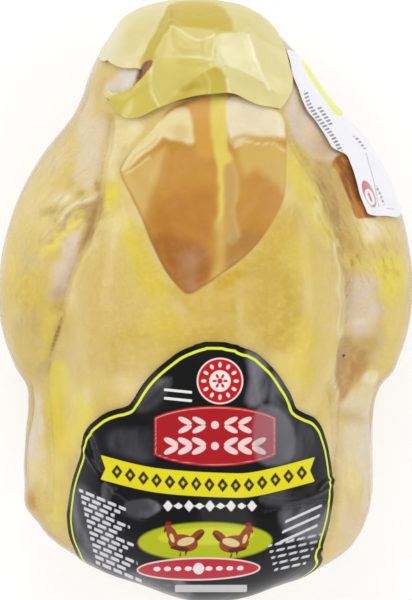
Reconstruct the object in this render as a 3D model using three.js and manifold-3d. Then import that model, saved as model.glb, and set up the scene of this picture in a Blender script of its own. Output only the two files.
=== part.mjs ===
// A whole raw chicken, ready to cook and packed in clear shrink film. It lies on its back, breast up.
// Millimetres, +Z up, +Y from the neck end towards the hocks, +X to the right as seen from above.
// The origin is on the resting face, below the middle of the pack.
//
// Four pieces: the bird in its tight film, which is one solid out to the film, the gold foil sheet over
// the hocks, the front label over the breast and the neck end, and the weight sticker on one thigh.
import * as THREE from "three";
import { mergeVertices } from "three/addons/utils/BufferGeometryUtils.js";
import Module from "manifold-3d";

const wasm = await Module();
wasm.setup();

const radians = Math.PI / 180;

// Muscle masses as ellipsoids: centre, half sizes, and the turn about Z that leans the +Y end inwards.
// A paired mass is given for the +X side.
const BREAST = { at: [2, -47, 55], half: [60, 79, 56], turn: 0 };
const SHOULDER = { at: [34, -82, 44], half: [28, 31, 36], turn: 0 };
const BACK = { at: [0, 12, 38], half: [64, 92, 40], turn: 0 };
const TAIL = { at: [0, 88, 48], half: [43, 38, 38], turn: 0 };
const BREAST_LOBE = { at: [34, 12, 62], half: [26, 62, 39], turn: 5 };
const LEFT_LEG = { at: [-56, 22, 42], half: [29, 56, 39], turn: -15 };
const RIGHT_LEG = { at: [56, 24, 42], half: [29, 58, 39], turn: 13 };
const HOCK = { at: [24, 84, 52], half: [22, 34, 34], turn: 16 };
const LEFT_WING = { at: [-57, -64, 36], half: [20, 36, 28], turn: 0 };
const RIGHT_WING = { at: [53, -62, 36], half: [17, 40, 28], turn: 0 };
const MASS_BLEND = 6;
// The hock end lies a little to one side: this far at the tip, and none at all where the lean starts.
const HOCK_LEAN = { shift: -5, start: 70, tip: 124 };

// The creases between the breast and the legs and wings, from the hock to the neck end, seen from above.
const CREASES = [
  [
    [-40, 64],
    [-43, 36],
    [-50, 16],
    [-57, -6],
    [-62, -32],
    [-63, -60],
    [-59, -92],
  ],
  [
    [38, 64],
    [46, 46],
    [52, 25],
    [57, 0],
    [57, -26],
    [54, -50],
    [52, -90],
  ],
];
const CREASE_DEPTH = 3.6;
const CREASE_WIDTH = 9.5;
const CREASE_RISE = 22; // the creases fade out over this height above the spine

// The pack's surface is found along rays from a short spine inside it.
const SPINE_HALF = 66;
const SPINE_HEIGHT = 44;
const LONGEST_RAY = 160;
const PACK_SEGMENTS = { around: 78, along: 50 };

// The open hollow between the legs, seen from above, clockwise from its top left corner.
const HOLLOW_OUTLINE = [
  [-10, 86],
  [28, 86],
  [34, 76],
  [34, 57],
  [32, 39],
  [25, 24],
  [15, 12],
  [4, 3],
  [-6, -2],
  [-14, 4],
  [-22, 20],
  [-30, 36],
  [-35, 48],
  [-29, 63],
  [-19, 73],
];
const HOLLOW_FLOOR = 66;
const HOLLOW_CLEAR = 60;
// Soft belly masses on the hollow's floor, and the strap of yellow fat that runs between them.
const BELLY = [
  { at: [-14, 40, 62], half: [24, 50, 25], turn: -12 },
  { at: [20, 44, 62], half: [19, 48, 24], turn: 8 },
];
const FAT_STRAP = { at: [5, 42, 62], half: [7, 50, 28], turn: 1 };
const BELLY_SEGMENTS = [20, 12];

// Sheets lie this far off the pack, so that no two pieces touch.
const SHEET_GAP = 0.8;

// Each sheet is given in degrees about a centre inside the pack: along it from its foot to its top, and to
// its left and right edges there. Its frame says which ways are across, along and straight out.
const UPRIGHT = { across: [1, 0, 0], along: [0, 1, 0], out: [0, 0, 1] };

// The front label: full over the neck end, then a step in on each side, then a dome over the breast.
const LABEL = {
  centre: [2, -46, 46],
  frame: UPRIGHT,
  edges: [
    [-96, -34, 22],
    [-92, -42, 28],
    [-80, -50, 36],
    [-66, -55, 45.5],
    [-54, -55.5, 49.5],
    [-40, -54.5, 52],
    [-27, -54, 52],
    [-18, -51, 49],
    [-11, -46.5, 44],
    [-6, -40.5, 38],
    [-4, -35, 33.5],
    [-2, -30.5, 32],
    [3, -27.5, 30],
    [9, -22.5, 26.5],
    [15, -16, 21],
    [17.5, -11, 16],
    [19.3, -6.5, 11],
    [20.2, -2, 6],
  ],
  columns: 16,
  rows: 30,
  thickness: 0.5,
};

// The gold foil sheet over the hocks. Its front hem is a wavy line, and its left edge is notched.
const FOIL = {
  centre: [-3, 78, 46],
  frame: UPRIGHT,
  edges: [
    [-4, -46, 43],
    [1, -50, 46],
    [6, -46, 46.5],
    [11, -34, 46.5],
    [17, -28, 46.5],
    [21, -31, 46],
    [25, -43, 46],
    [33, -51, 45.5],
    [48, -55, 44.5],
    [72, -52, 42],
    [90, -47, 38],
    [96, -40, 32],
  ],
  columns: 20,
  rows: 24,
  thickness: 0.6,
};
const FOIL_HEM = [
  [-46, -6],
  [-38, -10.5],
  [-28, -9.5],
  [-15, -3],
  [2, 3],
  [16, 4.5],
  [25, 0],
  [36, -4],
  [43, -2],
];
// Folds in the foil: where each ridge starts and ends, in degrees across and along, and its height.
const FOIL_FOLDS = [
  { from: [-26, -6], to: [-14, 64], height: 2.2 },
  { from: [12, 12], to: [-2, 38], height: 1.4 },
  { from: [12, 12], to: [34, 40], height: 1.8 },
  { from: [-8, 36], to: [28, 44], height: 1.3 },
];
const FOLD_WIDTH = 3.5;

// The weight sticker on the right thigh.
const STICKER = {
  centre: [24, 64, 42],
  frame: { across: [0.534, 0.313, -0.785], along: [-0.476, 0.879, 0.027], out: [0.699, 0.359, 0.619] },
  edges: [
    [-51, -8, 46],
    [-49, -11, 50],
    [-37, -10, 50],
    [-15, -13, 50],
    [4, -18, 50],
    [14, -19, 50],
    [33, -10, 46],
    [37, -5, 42],
  ],
  columns: 12,
  rows: 18,
  thickness: 0.5,
};

// Distance to one ellipsoid, negative inside. The -X copy of a paired mass has side = -1.
function massDistance({ at, half, turn }, side = 1) {
  const cos = Math.cos(turn * side * radians);
  const sin = Math.sin(turn * side * radians);
  return (p) => {
    const dx = p.x - at[0] * side;
    const dy = p.y - at[1];
    const x = (dx * cos + dy * sin) / half[0];
    const y = (dy * cos - dx * sin) / half[1];
    const z = (p.z - at[2]) / half[2];
    const size = Math.hypot(x, y, z);
    const slope = Math.hypot(x / half[0], y / half[1], z / half[2]);
    return slope < 1e-9 ? -Math.min(...half) : (size * (size - 1)) / slope;
  };
}

const singleMasses = [BREAST, BACK, TAIL, LEFT_LEG, RIGHT_LEG, LEFT_WING, RIGHT_WING];
const pairedMasses = [SHOULDER, BREAST_LOBE, HOCK];
const masses = [
  ...singleMasses.map((mass) => massDistance(mass)),
  ...pairedMasses.flatMap((mass) => [massDistance(mass), massDistance(mass, -1)]),
];

// How far a point in plan is from a line through the given points.
function distanceToPath(x, y, path) {
  let nearest = Infinity;
  for (let i = 0; i + 1 < path.length; i++) {
    const [ax, ay] = path[i];
    const [bx, by] = path[i + 1];
    const along = ((x - ax) * (bx - ax) + (y - ay) * (by - ay)) / ((bx - ax) ** 2 + (by - ay) ** 2);
    const t = THREE.MathUtils.clamp(along, 0, 1);
    nearest = Math.min(nearest, Math.hypot(x - ax - t * (bx - ax), y - ay - t * (by - ay)));
  }
  return nearest;
}

// Distance to all the masses, blended where skin is drawn over them and creased beside the legs.
function packDistance(p) {
  const lean = HOCK_LEAN.shift * THREE.MathUtils.smoothstep(p.y, HOCK_LEAN.start, HOCK_LEAN.tip);
  const straight = new THREE.Vector3(p.x - lean, p.y, p.z);
  let sum = 0;
  for (const mass of masses) sum += Math.exp(-mass(straight) / MASS_BLEND);
  const skin = -MASS_BLEND * Math.log(sum);
  if (p.z < SPINE_HEIGHT) return skin;
  const fade = THREE.MathUtils.smoothstep(p.z, SPINE_HEIGHT, SPINE_HEIGHT + CREASE_RISE);
  const off = Math.min(...CREASES.map((path) => distanceToPath(p.x, p.y, path))) / CREASE_WIDTH;
  return skin + fade * CREASE_DEPTH * Math.exp(-off * off);
}

// The outermost point of the pack on a ray from inside it. A ray that goes down stops on the resting face.
function surfaceFromInside(origin, direction) {
  const at = (r) => origin.clone().addScaledVector(direction, r);
  let inside = 0;
  let outside = LONGEST_RAY;
  for (let step = 0; step < 36; step++) {
    const middle = (inside + outside) / 2;
    if (packDistance(at(middle)) < 0) inside = middle;
    else outside = middle;
  }
  const point = at(inside);
  if (point.z < 0) {
    point.copy(at(-origin.z / direction.z));
    point.z = 0;
  }
  return point;
}

function surfaceNormal(p) {
  const step = 0.05;
  const slope = ["x", "y", "z"].map((axis) => {
    const ahead = p.clone();
    const behind = p.clone();
    ahead[axis] += step;
    behind[axis] -= step;
    return packDistance(ahead) - packDistance(behind);
  });
  return new THREE.Vector3(...slope).normalize();
}

function manifold(points, faces) {
  const vertProperties = new Float32Array(points.flatMap((p) => p.toArray()));
  return new wasm.Manifold(new wasm.Mesh({ numProp: 3, vertProperties, triVerts: new Uint32Array(faces) }));
}

function solidFromGeometry(geometry) {
  const bare = geometry.clone();
  bare.deleteAttribute("normal");
  bare.deleteAttribute("uv");
  const merged = mergeVertices(bare, 1e-3);
  const vertProperties = merged.attributes.position.array;
  const triVerts = new Uint32Array(merged.index.array);
  return new wasm.Manifold(new wasm.Mesh({ numProp: 3, vertProperties, triVerts }));
}

function geometryFromSolid(solid) {
  const mesh = solid.getMesh();
  const geometry = new THREE.BufferGeometry();
  geometry.setAttribute("position", new THREE.BufferAttribute(new Float32Array(mesh.vertProperties), 3));
  geometry.setIndex(new THREE.BufferAttribute(new Uint32Array(mesh.triVerts), 1));
  const faceted = geometry.toNonIndexed();
  faceted.computeVertexNormals();
  return faceted;
}

// The whole pack as rings of surface points from the hock end to the neck end.
function packSolid() {
  const { around, along } = PACK_SEGMENTS;
  const surface = (tilt, turn) =>
    surfaceFromInside(
      new THREE.Vector3(0, SPINE_HALF * Math.cos(tilt), SPINE_HEIGHT),
      new THREE.Vector3(
        Math.sin(tilt) * Math.cos(turn),
        Math.cos(tilt),
        Math.sin(tilt) * Math.sin(turn),
      ),
    );
  const points = [surface(0, 0)];
  for (let ring = 1; ring < along; ring++)
    for (let k = 0; k < around; k++)
      points.push(surface((ring / along) * Math.PI, (-k / around) * 2 * Math.PI));
  points.push(surface(Math.PI, 0));

  const faces = [];
  const last = points.length - 1;
  const index = (ring, k) => 1 + (ring - 1) * around + (k % around);
  for (let k = 0; k < around; k++) {
    faces.push(0, index(1, k), index(1, k + 1));
    for (let ring = 1; ring + 1 < along; ring++) {
      faces.push(index(ring, k), index(ring + 1, k), index(ring + 1, k + 1));
      faces.push(index(ring, k), index(ring + 1, k + 1), index(ring, k + 1));
    }
    faces.push(last, index(along - 1, k + 1), index(along - 1, k));
  }
  return manifold(points, faces);
}

// The hollow between the legs as a straight-sided cutter with a smooth outline.
function hollowCutter() {
  const outline = new THREE.Shape();
  const [first, ...others] = HOLLOW_OUTLINE.map(([x, y]) => new THREE.Vector2(x, y));
  outline.moveTo(first.x, first.y);
  outline.splineThru([...others, first]);
  const geometry = new THREE.ExtrudeGeometry(outline, {
    depth: HOLLOW_CLEAR,
    bevelEnabled: false,
    curveSegments: 4,
  });
  geometry.translate(0, 0, HOLLOW_FLOOR);
  return solidFromGeometry(geometry);
}

function ellipsoidSolid({ at, half, turn }) {
  const geometry = new THREE.SphereGeometry(1, ...BELLY_SEGMENTS);
  geometry.scale(...half);
  geometry.rotateZ(turn * radians);
  geometry.translate(...at);
  return solidFromGeometry(geometry);
}

function chickenInFilm() {
  let solid = packSolid().subtract(hollowCutter());
  for (const mass of [...BELLY, FAT_STRAP]) solid = solid.add(ellipsoidSolid(mass));
  return solid;
}

// The value in one column of a table of stations, between the stations on each side of x.
function between(stations, x, column = 1) {
  const next = stations.findIndex((station) => station[0] >= x);
  if (next === 0) return stations[0][column];
  if (next < 0) return stations.at(-1)[column];
  const [before, after] = [stations[next - 1], stations[next]];
  return THREE.MathUtils.mapLinear(x, before[0], after[0], before[column], after[column]);
}

// A thin solid that lies on the pack. foot gives the line of its lower edge, and lift raises it locally.
function drapedSheet({ centre, frame, edges, columns, rows, thickness }, { foot, lift = () => 0 } = {}) {
  const [across, along, out] = [frame.across, frame.along, frame.out].map((axis) => new THREE.Vector3(...axis));
  const origin = new THREE.Vector3(...centre);
  const [low, high] = [edges[0][0], edges.at(-1)[0]];
  const under = [];
  const over = [];
  for (let row = 0; row <= rows; row++)
    for (let column = 0; column <= columns; column++) {
      const level = THREE.MathUtils.lerp(low, high, row / rows);
      const side = THREE.MathUtils.lerp(between(edges, level, 1), between(edges, level, 2), column / columns);
      const up = foot ? THREE.MathUtils.lerp(between(foot, side), high, row / rows) : level;
      const direction = new THREE.Vector3()
        .addScaledVector(along, Math.sin(up * radians))
        .addScaledVector(out, Math.cos(up * radians))
        .multiplyScalar(Math.cos(side * radians))
        .addScaledVector(across, Math.sin(side * radians))
        .normalize();
      const point = surfaceFromInside(origin, direction);
      const normal = surfaceNormal(point);
      const height = SHEET_GAP + lift(side, up);
      under.push(point.clone().addScaledVector(normal, height));
      over.push(point.clone().addScaledVector(normal, height + thickness));
    }
  const count = under.length;
  const at = (row, column) => row * (columns + 1) + column;
  const faces = [];
  const quad = (a, b, c, d) => faces.push(a, b, c, a, c, d);
  for (let row = 0; row < rows; row++)
    for (let column = 0; column < columns; column++) {
      const corners = [at(row, column), at(row, column + 1), at(row + 1, column + 1), at(row + 1, column)];
      quad(...corners.map((c) => c + count));
      quad(...corners.reverse());
    }
  const rim = [
    ...Array.from({ length: columns }, (_, c) => at(0, c)),
    ...Array.from({ length: rows }, (_, r) => at(r, columns)),
    ...Array.from({ length: columns }, (_, c) => at(rows, columns - c)),
    ...Array.from({ length: rows }, (_, r) => at(rows - r, 0)),
  ];
  rim.forEach((here, i) => {
    const next = rim[(i + 1) % rim.length];
    quad(here, next, next + count, here + count);
  });
  return manifold([...under, ...over], faces);
}

function foldLift(side, up) {
  const lifts = FOIL_FOLDS.map(({ from, to, height }) => {
    return height * Math.exp(-distanceToPath(side, up, [from, to]) / FOLD_WIDTH);
  });
  return Math.max(...lifts);
}

function piece(name, solid, color, roughness, metalness = 0) {
  const material = new THREE.MeshStandardMaterial({ color, roughness, metalness });
  const mesh = new THREE.Mesh(geometryFromSolid(solid), material);
  mesh.name = name;
  return mesh;
}

const chicken = new THREE.Group();
chicken.add(piece("chicken_in_film", chickenInFilm(), 0xe0c468, 0.35));
chicken.add(piece("gold_foil", drapedSheet(FOIL, { foot: FOIL_HEM, lift: foldLift }), 0xd9cd7c, 0.3, 0.8));
chicken.add(piece("front_label", drapedSheet(LABEL), 0x1b1b1e, 0.3));
chicken.add(piece("weight_sticker", drapedSheet(STICKER), 0xeeeef0, 0.5));

// The pack's middle is set over the origin, with its resting face at height 0.
const bounds = new THREE.Box3().setFromObject(chicken);
const middle = bounds.getCenter(new THREE.Vector3());
chicken.position.set(-middle.x, -middle.y, -bounds.min.z);

export default chicken;
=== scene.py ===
"""Dresses a whole raw chicken in clear film: its skin, the film over it, the foil, the label and the sticker.

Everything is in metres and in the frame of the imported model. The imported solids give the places, and the
pieces made here take over their looks.
"""

from __future__ import annotations

import logging
import math
from dataclasses import dataclass
from enum import Enum
from typing import Callable, Sequence

import bpy
import numpy as np
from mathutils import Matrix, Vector
from mathutils.bvhtree import BVHTree

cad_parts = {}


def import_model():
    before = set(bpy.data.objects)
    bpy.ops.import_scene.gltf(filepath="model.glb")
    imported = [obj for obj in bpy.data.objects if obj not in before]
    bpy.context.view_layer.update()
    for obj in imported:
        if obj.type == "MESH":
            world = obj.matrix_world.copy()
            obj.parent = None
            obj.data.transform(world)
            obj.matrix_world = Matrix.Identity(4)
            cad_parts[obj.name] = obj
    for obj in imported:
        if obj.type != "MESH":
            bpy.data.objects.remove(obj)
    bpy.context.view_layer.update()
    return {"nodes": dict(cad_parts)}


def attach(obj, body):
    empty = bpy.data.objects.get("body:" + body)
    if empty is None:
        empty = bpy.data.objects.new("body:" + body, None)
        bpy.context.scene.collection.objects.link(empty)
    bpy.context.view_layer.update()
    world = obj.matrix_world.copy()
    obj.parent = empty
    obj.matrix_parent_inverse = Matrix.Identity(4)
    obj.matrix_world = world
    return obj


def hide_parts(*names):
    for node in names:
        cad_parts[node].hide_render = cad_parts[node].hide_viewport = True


LOG = logging.getLogger("chicken")
MM = 0.001

Triple = tuple[float, float, float]
Colour = Triple
Spot = tuple[float, float]
Line = tuple[Spot, ...]
Array = np.ndarray
Piece = bpy.types.Object
Node = bpy.types.Node
Socket = bpy.types.NodeSocket
# Further from a printed edge than any dot of it, in dots
FAR = 50.0
# Keeps a division from being by nothing
TINY = 1e-9


def linear(red: int, green: int, blue: int) -> Colour:
    """Turns a colour as seen on a screen, 0 to 255, into the linear one that a shader takes.

    Args:
        red: the red of the seen colour.
        green: the green of the seen colour.
        blue: the blue of the seen colour.

    Returns:
        The colour in linear light.
    """
    parts = []
    for value in (red, green, blue):
        share = value / 255
        parts.append(share / 12.92 if share <= 0.04045 else ((share + 0.055) / 1.055) ** 2.4)
    return (parts[0], parts[1], parts[2])


def smooth(low: float, high: float, value: Array) -> Array:
    """Rises smoothly from 0 at low to 1 at high.

    Args:
        low: where the rise starts.
        high: where it ends. It may be less than low, and then the value falls.
        value: the numbers to look up.

    Returns:
        The share for each number.
    """
    share = np.clip((value - low) / (high - low), 0.0, 1.0)
    return share * share * (3 - 2 * share)


class Layer(Enum):
    """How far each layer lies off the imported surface, in millimetres."""

    SKIN = -0.9
    FILM = 0.25
    SHEET = 0.4


@dataclass(frozen=True)
class PhotoView:
    """The camera of the photo, and where points of the object fall in its frame.

    The view looks down on the breast. Places on it are given in its own 412 by 600 dots, from the top left.
    """

    width: float = 412.0
    height: float = 600.0
    elevation: float = 84.0
    distance: float = 1.5
    target: Triple = (0.0002, -0.0005, 0.05)
    dot: float = 0.42 * MM
    sensor: float = 36.0

    def back(self) -> Array:
        """Returns the direction from the target to the camera."""
        angle = math.radians(self.elevation)
        return np.array([0.0, -math.cos(angle), math.sin(angle)])

    def up(self) -> Array:
        """Returns the direction that is up in the picture."""
        angle = math.radians(self.elevation)
        return np.array([0.0, math.sin(angle), math.cos(angle)])

    def project(self, points: Array) -> tuple[Array, Array]:
        """Finds where points fall in the picture.

        Args:
            points: places in metres, one in each row.

        Returns:
            The dots across and the dots down, from the top left.
        """
        offset = points - np.array(self.target)
        scale = self.distance / (self.distance - offset @ self.back()) / self.dot
        across = self.width / 2 + offset[:, 0] * scale
        down = self.height / 2 - (offset @ self.up()) * scale
        return across, down

    def place_camera(self) -> Piece:
        """Sets up the scene's camera.

        Returns:
            The camera object.
        """
        lens = self.sensor * self.distance / (self.height * self.dot)
        data = bpy.data.cameras.new("photo_camera")
        data.sensor_width = self.sensor
        data.lens = lens
        data.clip_start = 0.05
        data.clip_end = 20.0
        camera = bpy.data.objects.new("photo_camera", data)
        bpy.context.scene.collection.objects.link(camera)
        camera.location = Vector(self.target) + Vector(self.back()) * self.distance
        camera.rotation_euler = (-Vector(self.back())).to_track_quat("-Z", "Y").to_euler()
        bpy.context.scene.camera = camera
        return camera


VIEW = PhotoView()


def distance_to_path(across: Array, down: Array, path: Sequence[Spot]) -> Array:
    """Measures how far dots are from a line of straight stretches.

    Args:
        across: dots across.
        down: dots down.
        path: the line's corners.

    Returns:
        The distance of each dot from the line, in dots.
    """
    nearest = np.full(across.shape, 1e9)
    for (ax, ay), (bx, by) in zip(path, path[1:]):
        length = max((bx - ax) ** 2 + (by - ay) ** 2, TINY)
        share = np.clip(((across - ax) * (bx - ax) + (down - ay) * (by - ay)) / length, 0, 1)
        away = np.hypot(across - ax - share * (bx - ax), down - ay - share * (by - ay))
        nearest = np.minimum(nearest, away)
    return nearest


def side_of_outline(across: Array, down: Array, outline: Sequence[Spot]) -> Array:
    """Measures how far dots are from a closed outline, less than 0 inside it.

    Args:
        across: dots across.
        down: dots down.
        outline: the outline's corners, in order.

    Returns:
        The signed distance of each dot, in dots.
    """
    closed = [*outline, outline[0]]
    inside = np.zeros(across.shape, bool)
    for (ax, ay), (bx, by) in zip(closed, closed[1:]):
        if ay == by:
            continue
        crosses = (ay > down) != (by > down)
        inside ^= crosses & (across < (bx - ax) * (down - ay) / (by - ay) + ax)
    away = distance_to_path(across, down, closed)
    return np.where(inside, -away, away)


def rounded(points: Sequence[Spot], steps: int = 6, closed: bool = False) -> list[Spot]:
    """Draws a smooth line through points.

    Args:
        points: the points that the line passes through.
        steps: how many short stretches there are between two points.
        closed: True if the line comes back to its start.

    Returns:
        The smooth line's points.
    """
    line = [np.array(p, float) for p in points]
    count = len(line)
    out: list[Spot] = []
    spans = count if closed else count - 1
    for i in range(spans):
        if closed:
            p0, p1, p2, p3 = (line[(i + k) % count] for k in (-1, 0, 1, 2))
        else:
            p0, p1, p2, p3 = line[max(i - 1, 0)], line[i], line[i + 1], line[min(i + 2, count - 1)]
        for k in range(steps):
            t = k / steps
            bend = (2 * p0 - 5 * p1 + 4 * p2 - p3) * t * t + (3 * p1 - p0 - 3 * p2 + p3) * t**3
            blend = 0.5 * (2 * p1 + (p2 - p0) * t + bend)
            out.append((float(blend[0]), float(blend[1])))
    if not closed:
        out.append((float(line[-1][0]), float(line[-1][1])))
    return out


def wave_noise(points: Array, size: float, seed: int) -> Array:
    """A smooth random pattern made of crossing waves.

    Args:
        points: places in metres, one in each row.
        size: the size of one hump, in metres.
        seed: which of the patterns to make.

    Returns:
        A number near -1 to 1 for each place.
    """
    waves = 9
    chance = np.random.default_rng(seed)
    total = np.zeros(len(points))
    for _ in range(waves):
        direction = chance.normal(size=3)
        direction *= math.tau / (2 * size) * chance.uniform(0.6, 1.4) / np.linalg.norm(direction)
        total += np.sin(points @ direction + chance.uniform(0, math.tau))
    return total / math.sqrt(waves) / 1.3


# Ways of making and shaping meshes that all the pieces share


def select_only(obj: Piece) -> None:
    """Selects one object and nothing else.

    Args:
        obj: the object to select.
    """
    bpy.ops.object.select_all(action="DESELECT")
    obj.select_set(True)
    bpy.context.view_layer.objects.active = obj


def copy_of_node(node: Piece, name: str) -> Piece:
    """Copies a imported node's mesh to a new object, with its corners joined.

    Args:
        node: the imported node.
        name: the new object's name.

    Returns:
        The new object.
    """
    obj = bpy.data.objects.new(name, node.data.copy())
    obj.data.name = name
    obj.data.materials.clear()
    bpy.context.scene.collection.objects.link(obj)
    select_only(obj)
    bpy.ops.object.mode_set(mode="EDIT")
    bpy.ops.mesh.select_all(action="SELECT")
    bpy.ops.mesh.remove_doubles(threshold=0.00001)
    bpy.ops.object.mode_set(mode="OBJECT")
    return obj


def apply_modifier(obj: Piece, kind: str, **settings: object) -> None:
    """Adds a modifier to an object and applies it.

    Args:
        obj: the object.
        kind: the modifier's type.
        settings: its settings by name.
    """
    select_only(obj)
    modifier = obj.modifiers.new(kind.lower(), kind)
    for key, value in settings.items():
        setattr(modifier, key, value)
    bpy.ops.object.modifier_apply(modifier=modifier.name)


def read_mesh(obj: Piece) -> tuple[Array, Array]:
    """Reads an object's points and the directions that they face.

    Args:
        obj: the object.

    Returns:
        The points and their normals, one in each row.
    """
    count = len(obj.data.vertices)
    points = np.empty(count * 3)
    normals = np.empty(count * 3)
    obj.data.vertices.foreach_get("co", points)
    obj.data.vertex_normals.foreach_get("vector", normals)
    return points.reshape(-1, 3), normals.reshape(-1, 3)


def write_mesh(obj: Piece, points: Array) -> None:
    """Moves an object's points.

    Args:
        obj: the object.
        points: their new places, one in each row.
    """
    obj.data.vertices.foreach_set("co", points.ravel())
    obj.data.update()


def shade_smooth(obj: Piece) -> None:
    """Shades an object as a smooth surface."""
    select_only(obj)
    bpy.ops.object.shade_smooth()


def store(obj: Piece, name: str, values: Array) -> None:
    """Stores one number for each point of an object, for its material to read.

    Args:
        obj: the object.
        name: the attribute's name.
        values: the numbers.
    """
    layer = obj.data.attributes.new(name, "FLOAT", "POINT")
    layer.data.foreach_set("value", values.astype(np.float32))


def store_colour(obj: Piece, name: str, colours: Array) -> None:
    """Stores one linear colour for each point of an object.

    Args:
        obj: the object.
        name: the attribute's name.
        colours: red, green and blue, one point in each row.
    """
    layer = obj.data.color_attributes.new(name, "FLOAT_COLOR", "POINT")
    full = np.concatenate([colours, np.ones((len(colours), 1))], axis=1)
    layer.data.foreach_set("color", full.astype(np.float32).ravel())


def faces_of(obj: Piece) -> BVHTree:
    """Returns a search tree of an object's faces."""
    graph = bpy.context.evaluated_depsgraph_get()
    return BVHTree.FromObject(obj, graph)


# Shared shader effects


def add_node(nodes: bpy.types.Nodes, kind: str, values: dict | None = None, **settings: object) -> Node:
    """Adds a shader node.

    Args:
        nodes: the tree's nodes.
        kind: the node's type, without its first words.
        values: the values of its inputs, by name or number.
        settings: its settings by name.

    Returns:
        The node.
    """
    node = nodes.new("ShaderNode" + kind)
    for key, value in settings.items():
        setattr(node, key, value)
    for key, value in (values or {}).items():
        node.inputs[key].default_value = value
    return node


def new_group(name: str, inputs: Sequence[tuple[str, str, object]], output: tuple[str, str]) -> tuple:
    """Starts a shader node group.

    Args:
        name: the group's name.
        inputs: each input's name, socket type and value.
        output: the output's name and socket type.

    Returns:
        The group, its input node and its output node.
    """
    group = bpy.data.node_groups.new(name, "ShaderNodeTree")
    for label, kind, value in inputs:
        socket = group.interface.new_socket(name=label, in_out="INPUT", socket_type=kind)
        socket.default_value = value
    group.interface.new_socket(name=output[0], in_out="OUTPUT", socket_type=output[1])
    return group, group.nodes.new("NodeGroupInput"), group.nodes.new("NodeGroupOutput")


class SharedEffects:
    """Shader node groups that several materials use, each built once."""

    _made: dict[str, bpy.types.NodeTree] = {}

    @classmethod
    def mottling(cls) -> bpy.types.NodeTree:
        """Returns the group that breaks up a colour with soft patches and fine flecks."""
        if "mottling" in cls._made:
            return cls._made["mottling"]
        group, start, end = new_group(
            "soft_mottling",
            [
                ("Color", "NodeSocketColor", (0.8, 0.7, 0.4, 1)),
                ("Patch Color", "NodeSocketColor", (0.8, 0.6, 0.2, 1)),
                ("Patch Scale", "NodeSocketFloat", 120.0),
                ("Patch Strength", "NodeSocketFloat", 0.3),
                ("Fleck Scale", "NodeSocketFloat", 900.0),
                ("Fleck Strength", "NodeSocketFloat", 0.1),
            ],
            ("Color", "NodeSocketColor"),
        )
        nodes, link = group.nodes, group.links.new
        place = add_node(nodes, "TexCoord").outputs["Object"]
        patches = add_node(nodes, "TexNoise", {"Detail": 4.0, "Roughness": 0.6})
        flecks = add_node(nodes, "TexNoise", {"Detail": 2.0})
        ends = {"From Min": 0.42, "From Max": 0.68}
        shape = add_node(nodes, "MapRange", ends, interpolation_type="SMOOTHSTEP")
        weight = add_node(nodes, "Math", operation="MULTIPLY")
        patched = add_node(nodes, "Mix", data_type="RGBA")
        centred = add_node(nodes, "Math", {1: 0.5}, operation="SUBTRACT")
        fleck_weight = add_node(nodes, "Math", {2: 1.0}, operation="MULTIPLY_ADD")
        flecked = add_node(nodes, "VectorMath", operation="SCALE")
        link(place, patches.inputs["Vector"])
        link(place, flecks.inputs["Vector"])
        link(start.outputs["Patch Scale"], patches.inputs["Scale"])
        link(start.outputs["Fleck Scale"], flecks.inputs["Scale"])
        link(patches.outputs["Fac"], shape.inputs["Value"])
        link(shape.outputs["Result"], weight.inputs[0])
        link(start.outputs["Patch Strength"], weight.inputs[1])
        link(weight.outputs["Value"], patched.inputs["Factor"])
        link(start.outputs["Color"], patched.inputs["A"])
        link(start.outputs["Patch Color"], patched.inputs["B"])
        link(flecks.outputs["Fac"], centred.inputs[0])
        link(centred.outputs["Value"], fleck_weight.inputs[0])
        link(start.outputs["Fleck Strength"], fleck_weight.inputs[1])
        link(patched.outputs["Result"], flecked.inputs[0])
        link(fleck_weight.outputs["Value"], flecked.inputs["Scale"])
        link(flecked.outputs["Vector"], end.inputs["Color"])
        cls._made["mottling"] = group
        return group

    @classmethod
    def edge_mask(cls) -> bpy.types.NodeTree:
        """Returns the group that turns a stored distance from a printed shape's edge into a crisp mask."""
        if "edge_mask" in cls._made:
            return cls._made["edge_mask"]
        group, start, end = new_group(
            "printed_edge",
            [("Distance", "NodeSocketFloat", 0.0), ("Softness", "NodeSocketFloat", 0.35)],
            ("Mask", "NodeSocketFloat"),
        )
        link = group.links.new
        flipped = add_node(group.nodes, "Math", {1: -1.0}, operation="MULTIPLY")
        ramp = add_node(group.nodes, "MapRange", interpolation_type="SMOOTHSTEP")
        link(start.outputs["Softness"], flipped.inputs[0])
        link(start.outputs["Distance"], ramp.inputs["Value"])
        link(start.outputs["Softness"], ramp.inputs["From Min"])
        link(flipped.outputs["Value"], ramp.inputs["From Max"])
        link(ramp.outputs["Result"], end.inputs["Mask"])
        cls._made["edge_mask"] = group
        return group


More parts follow.
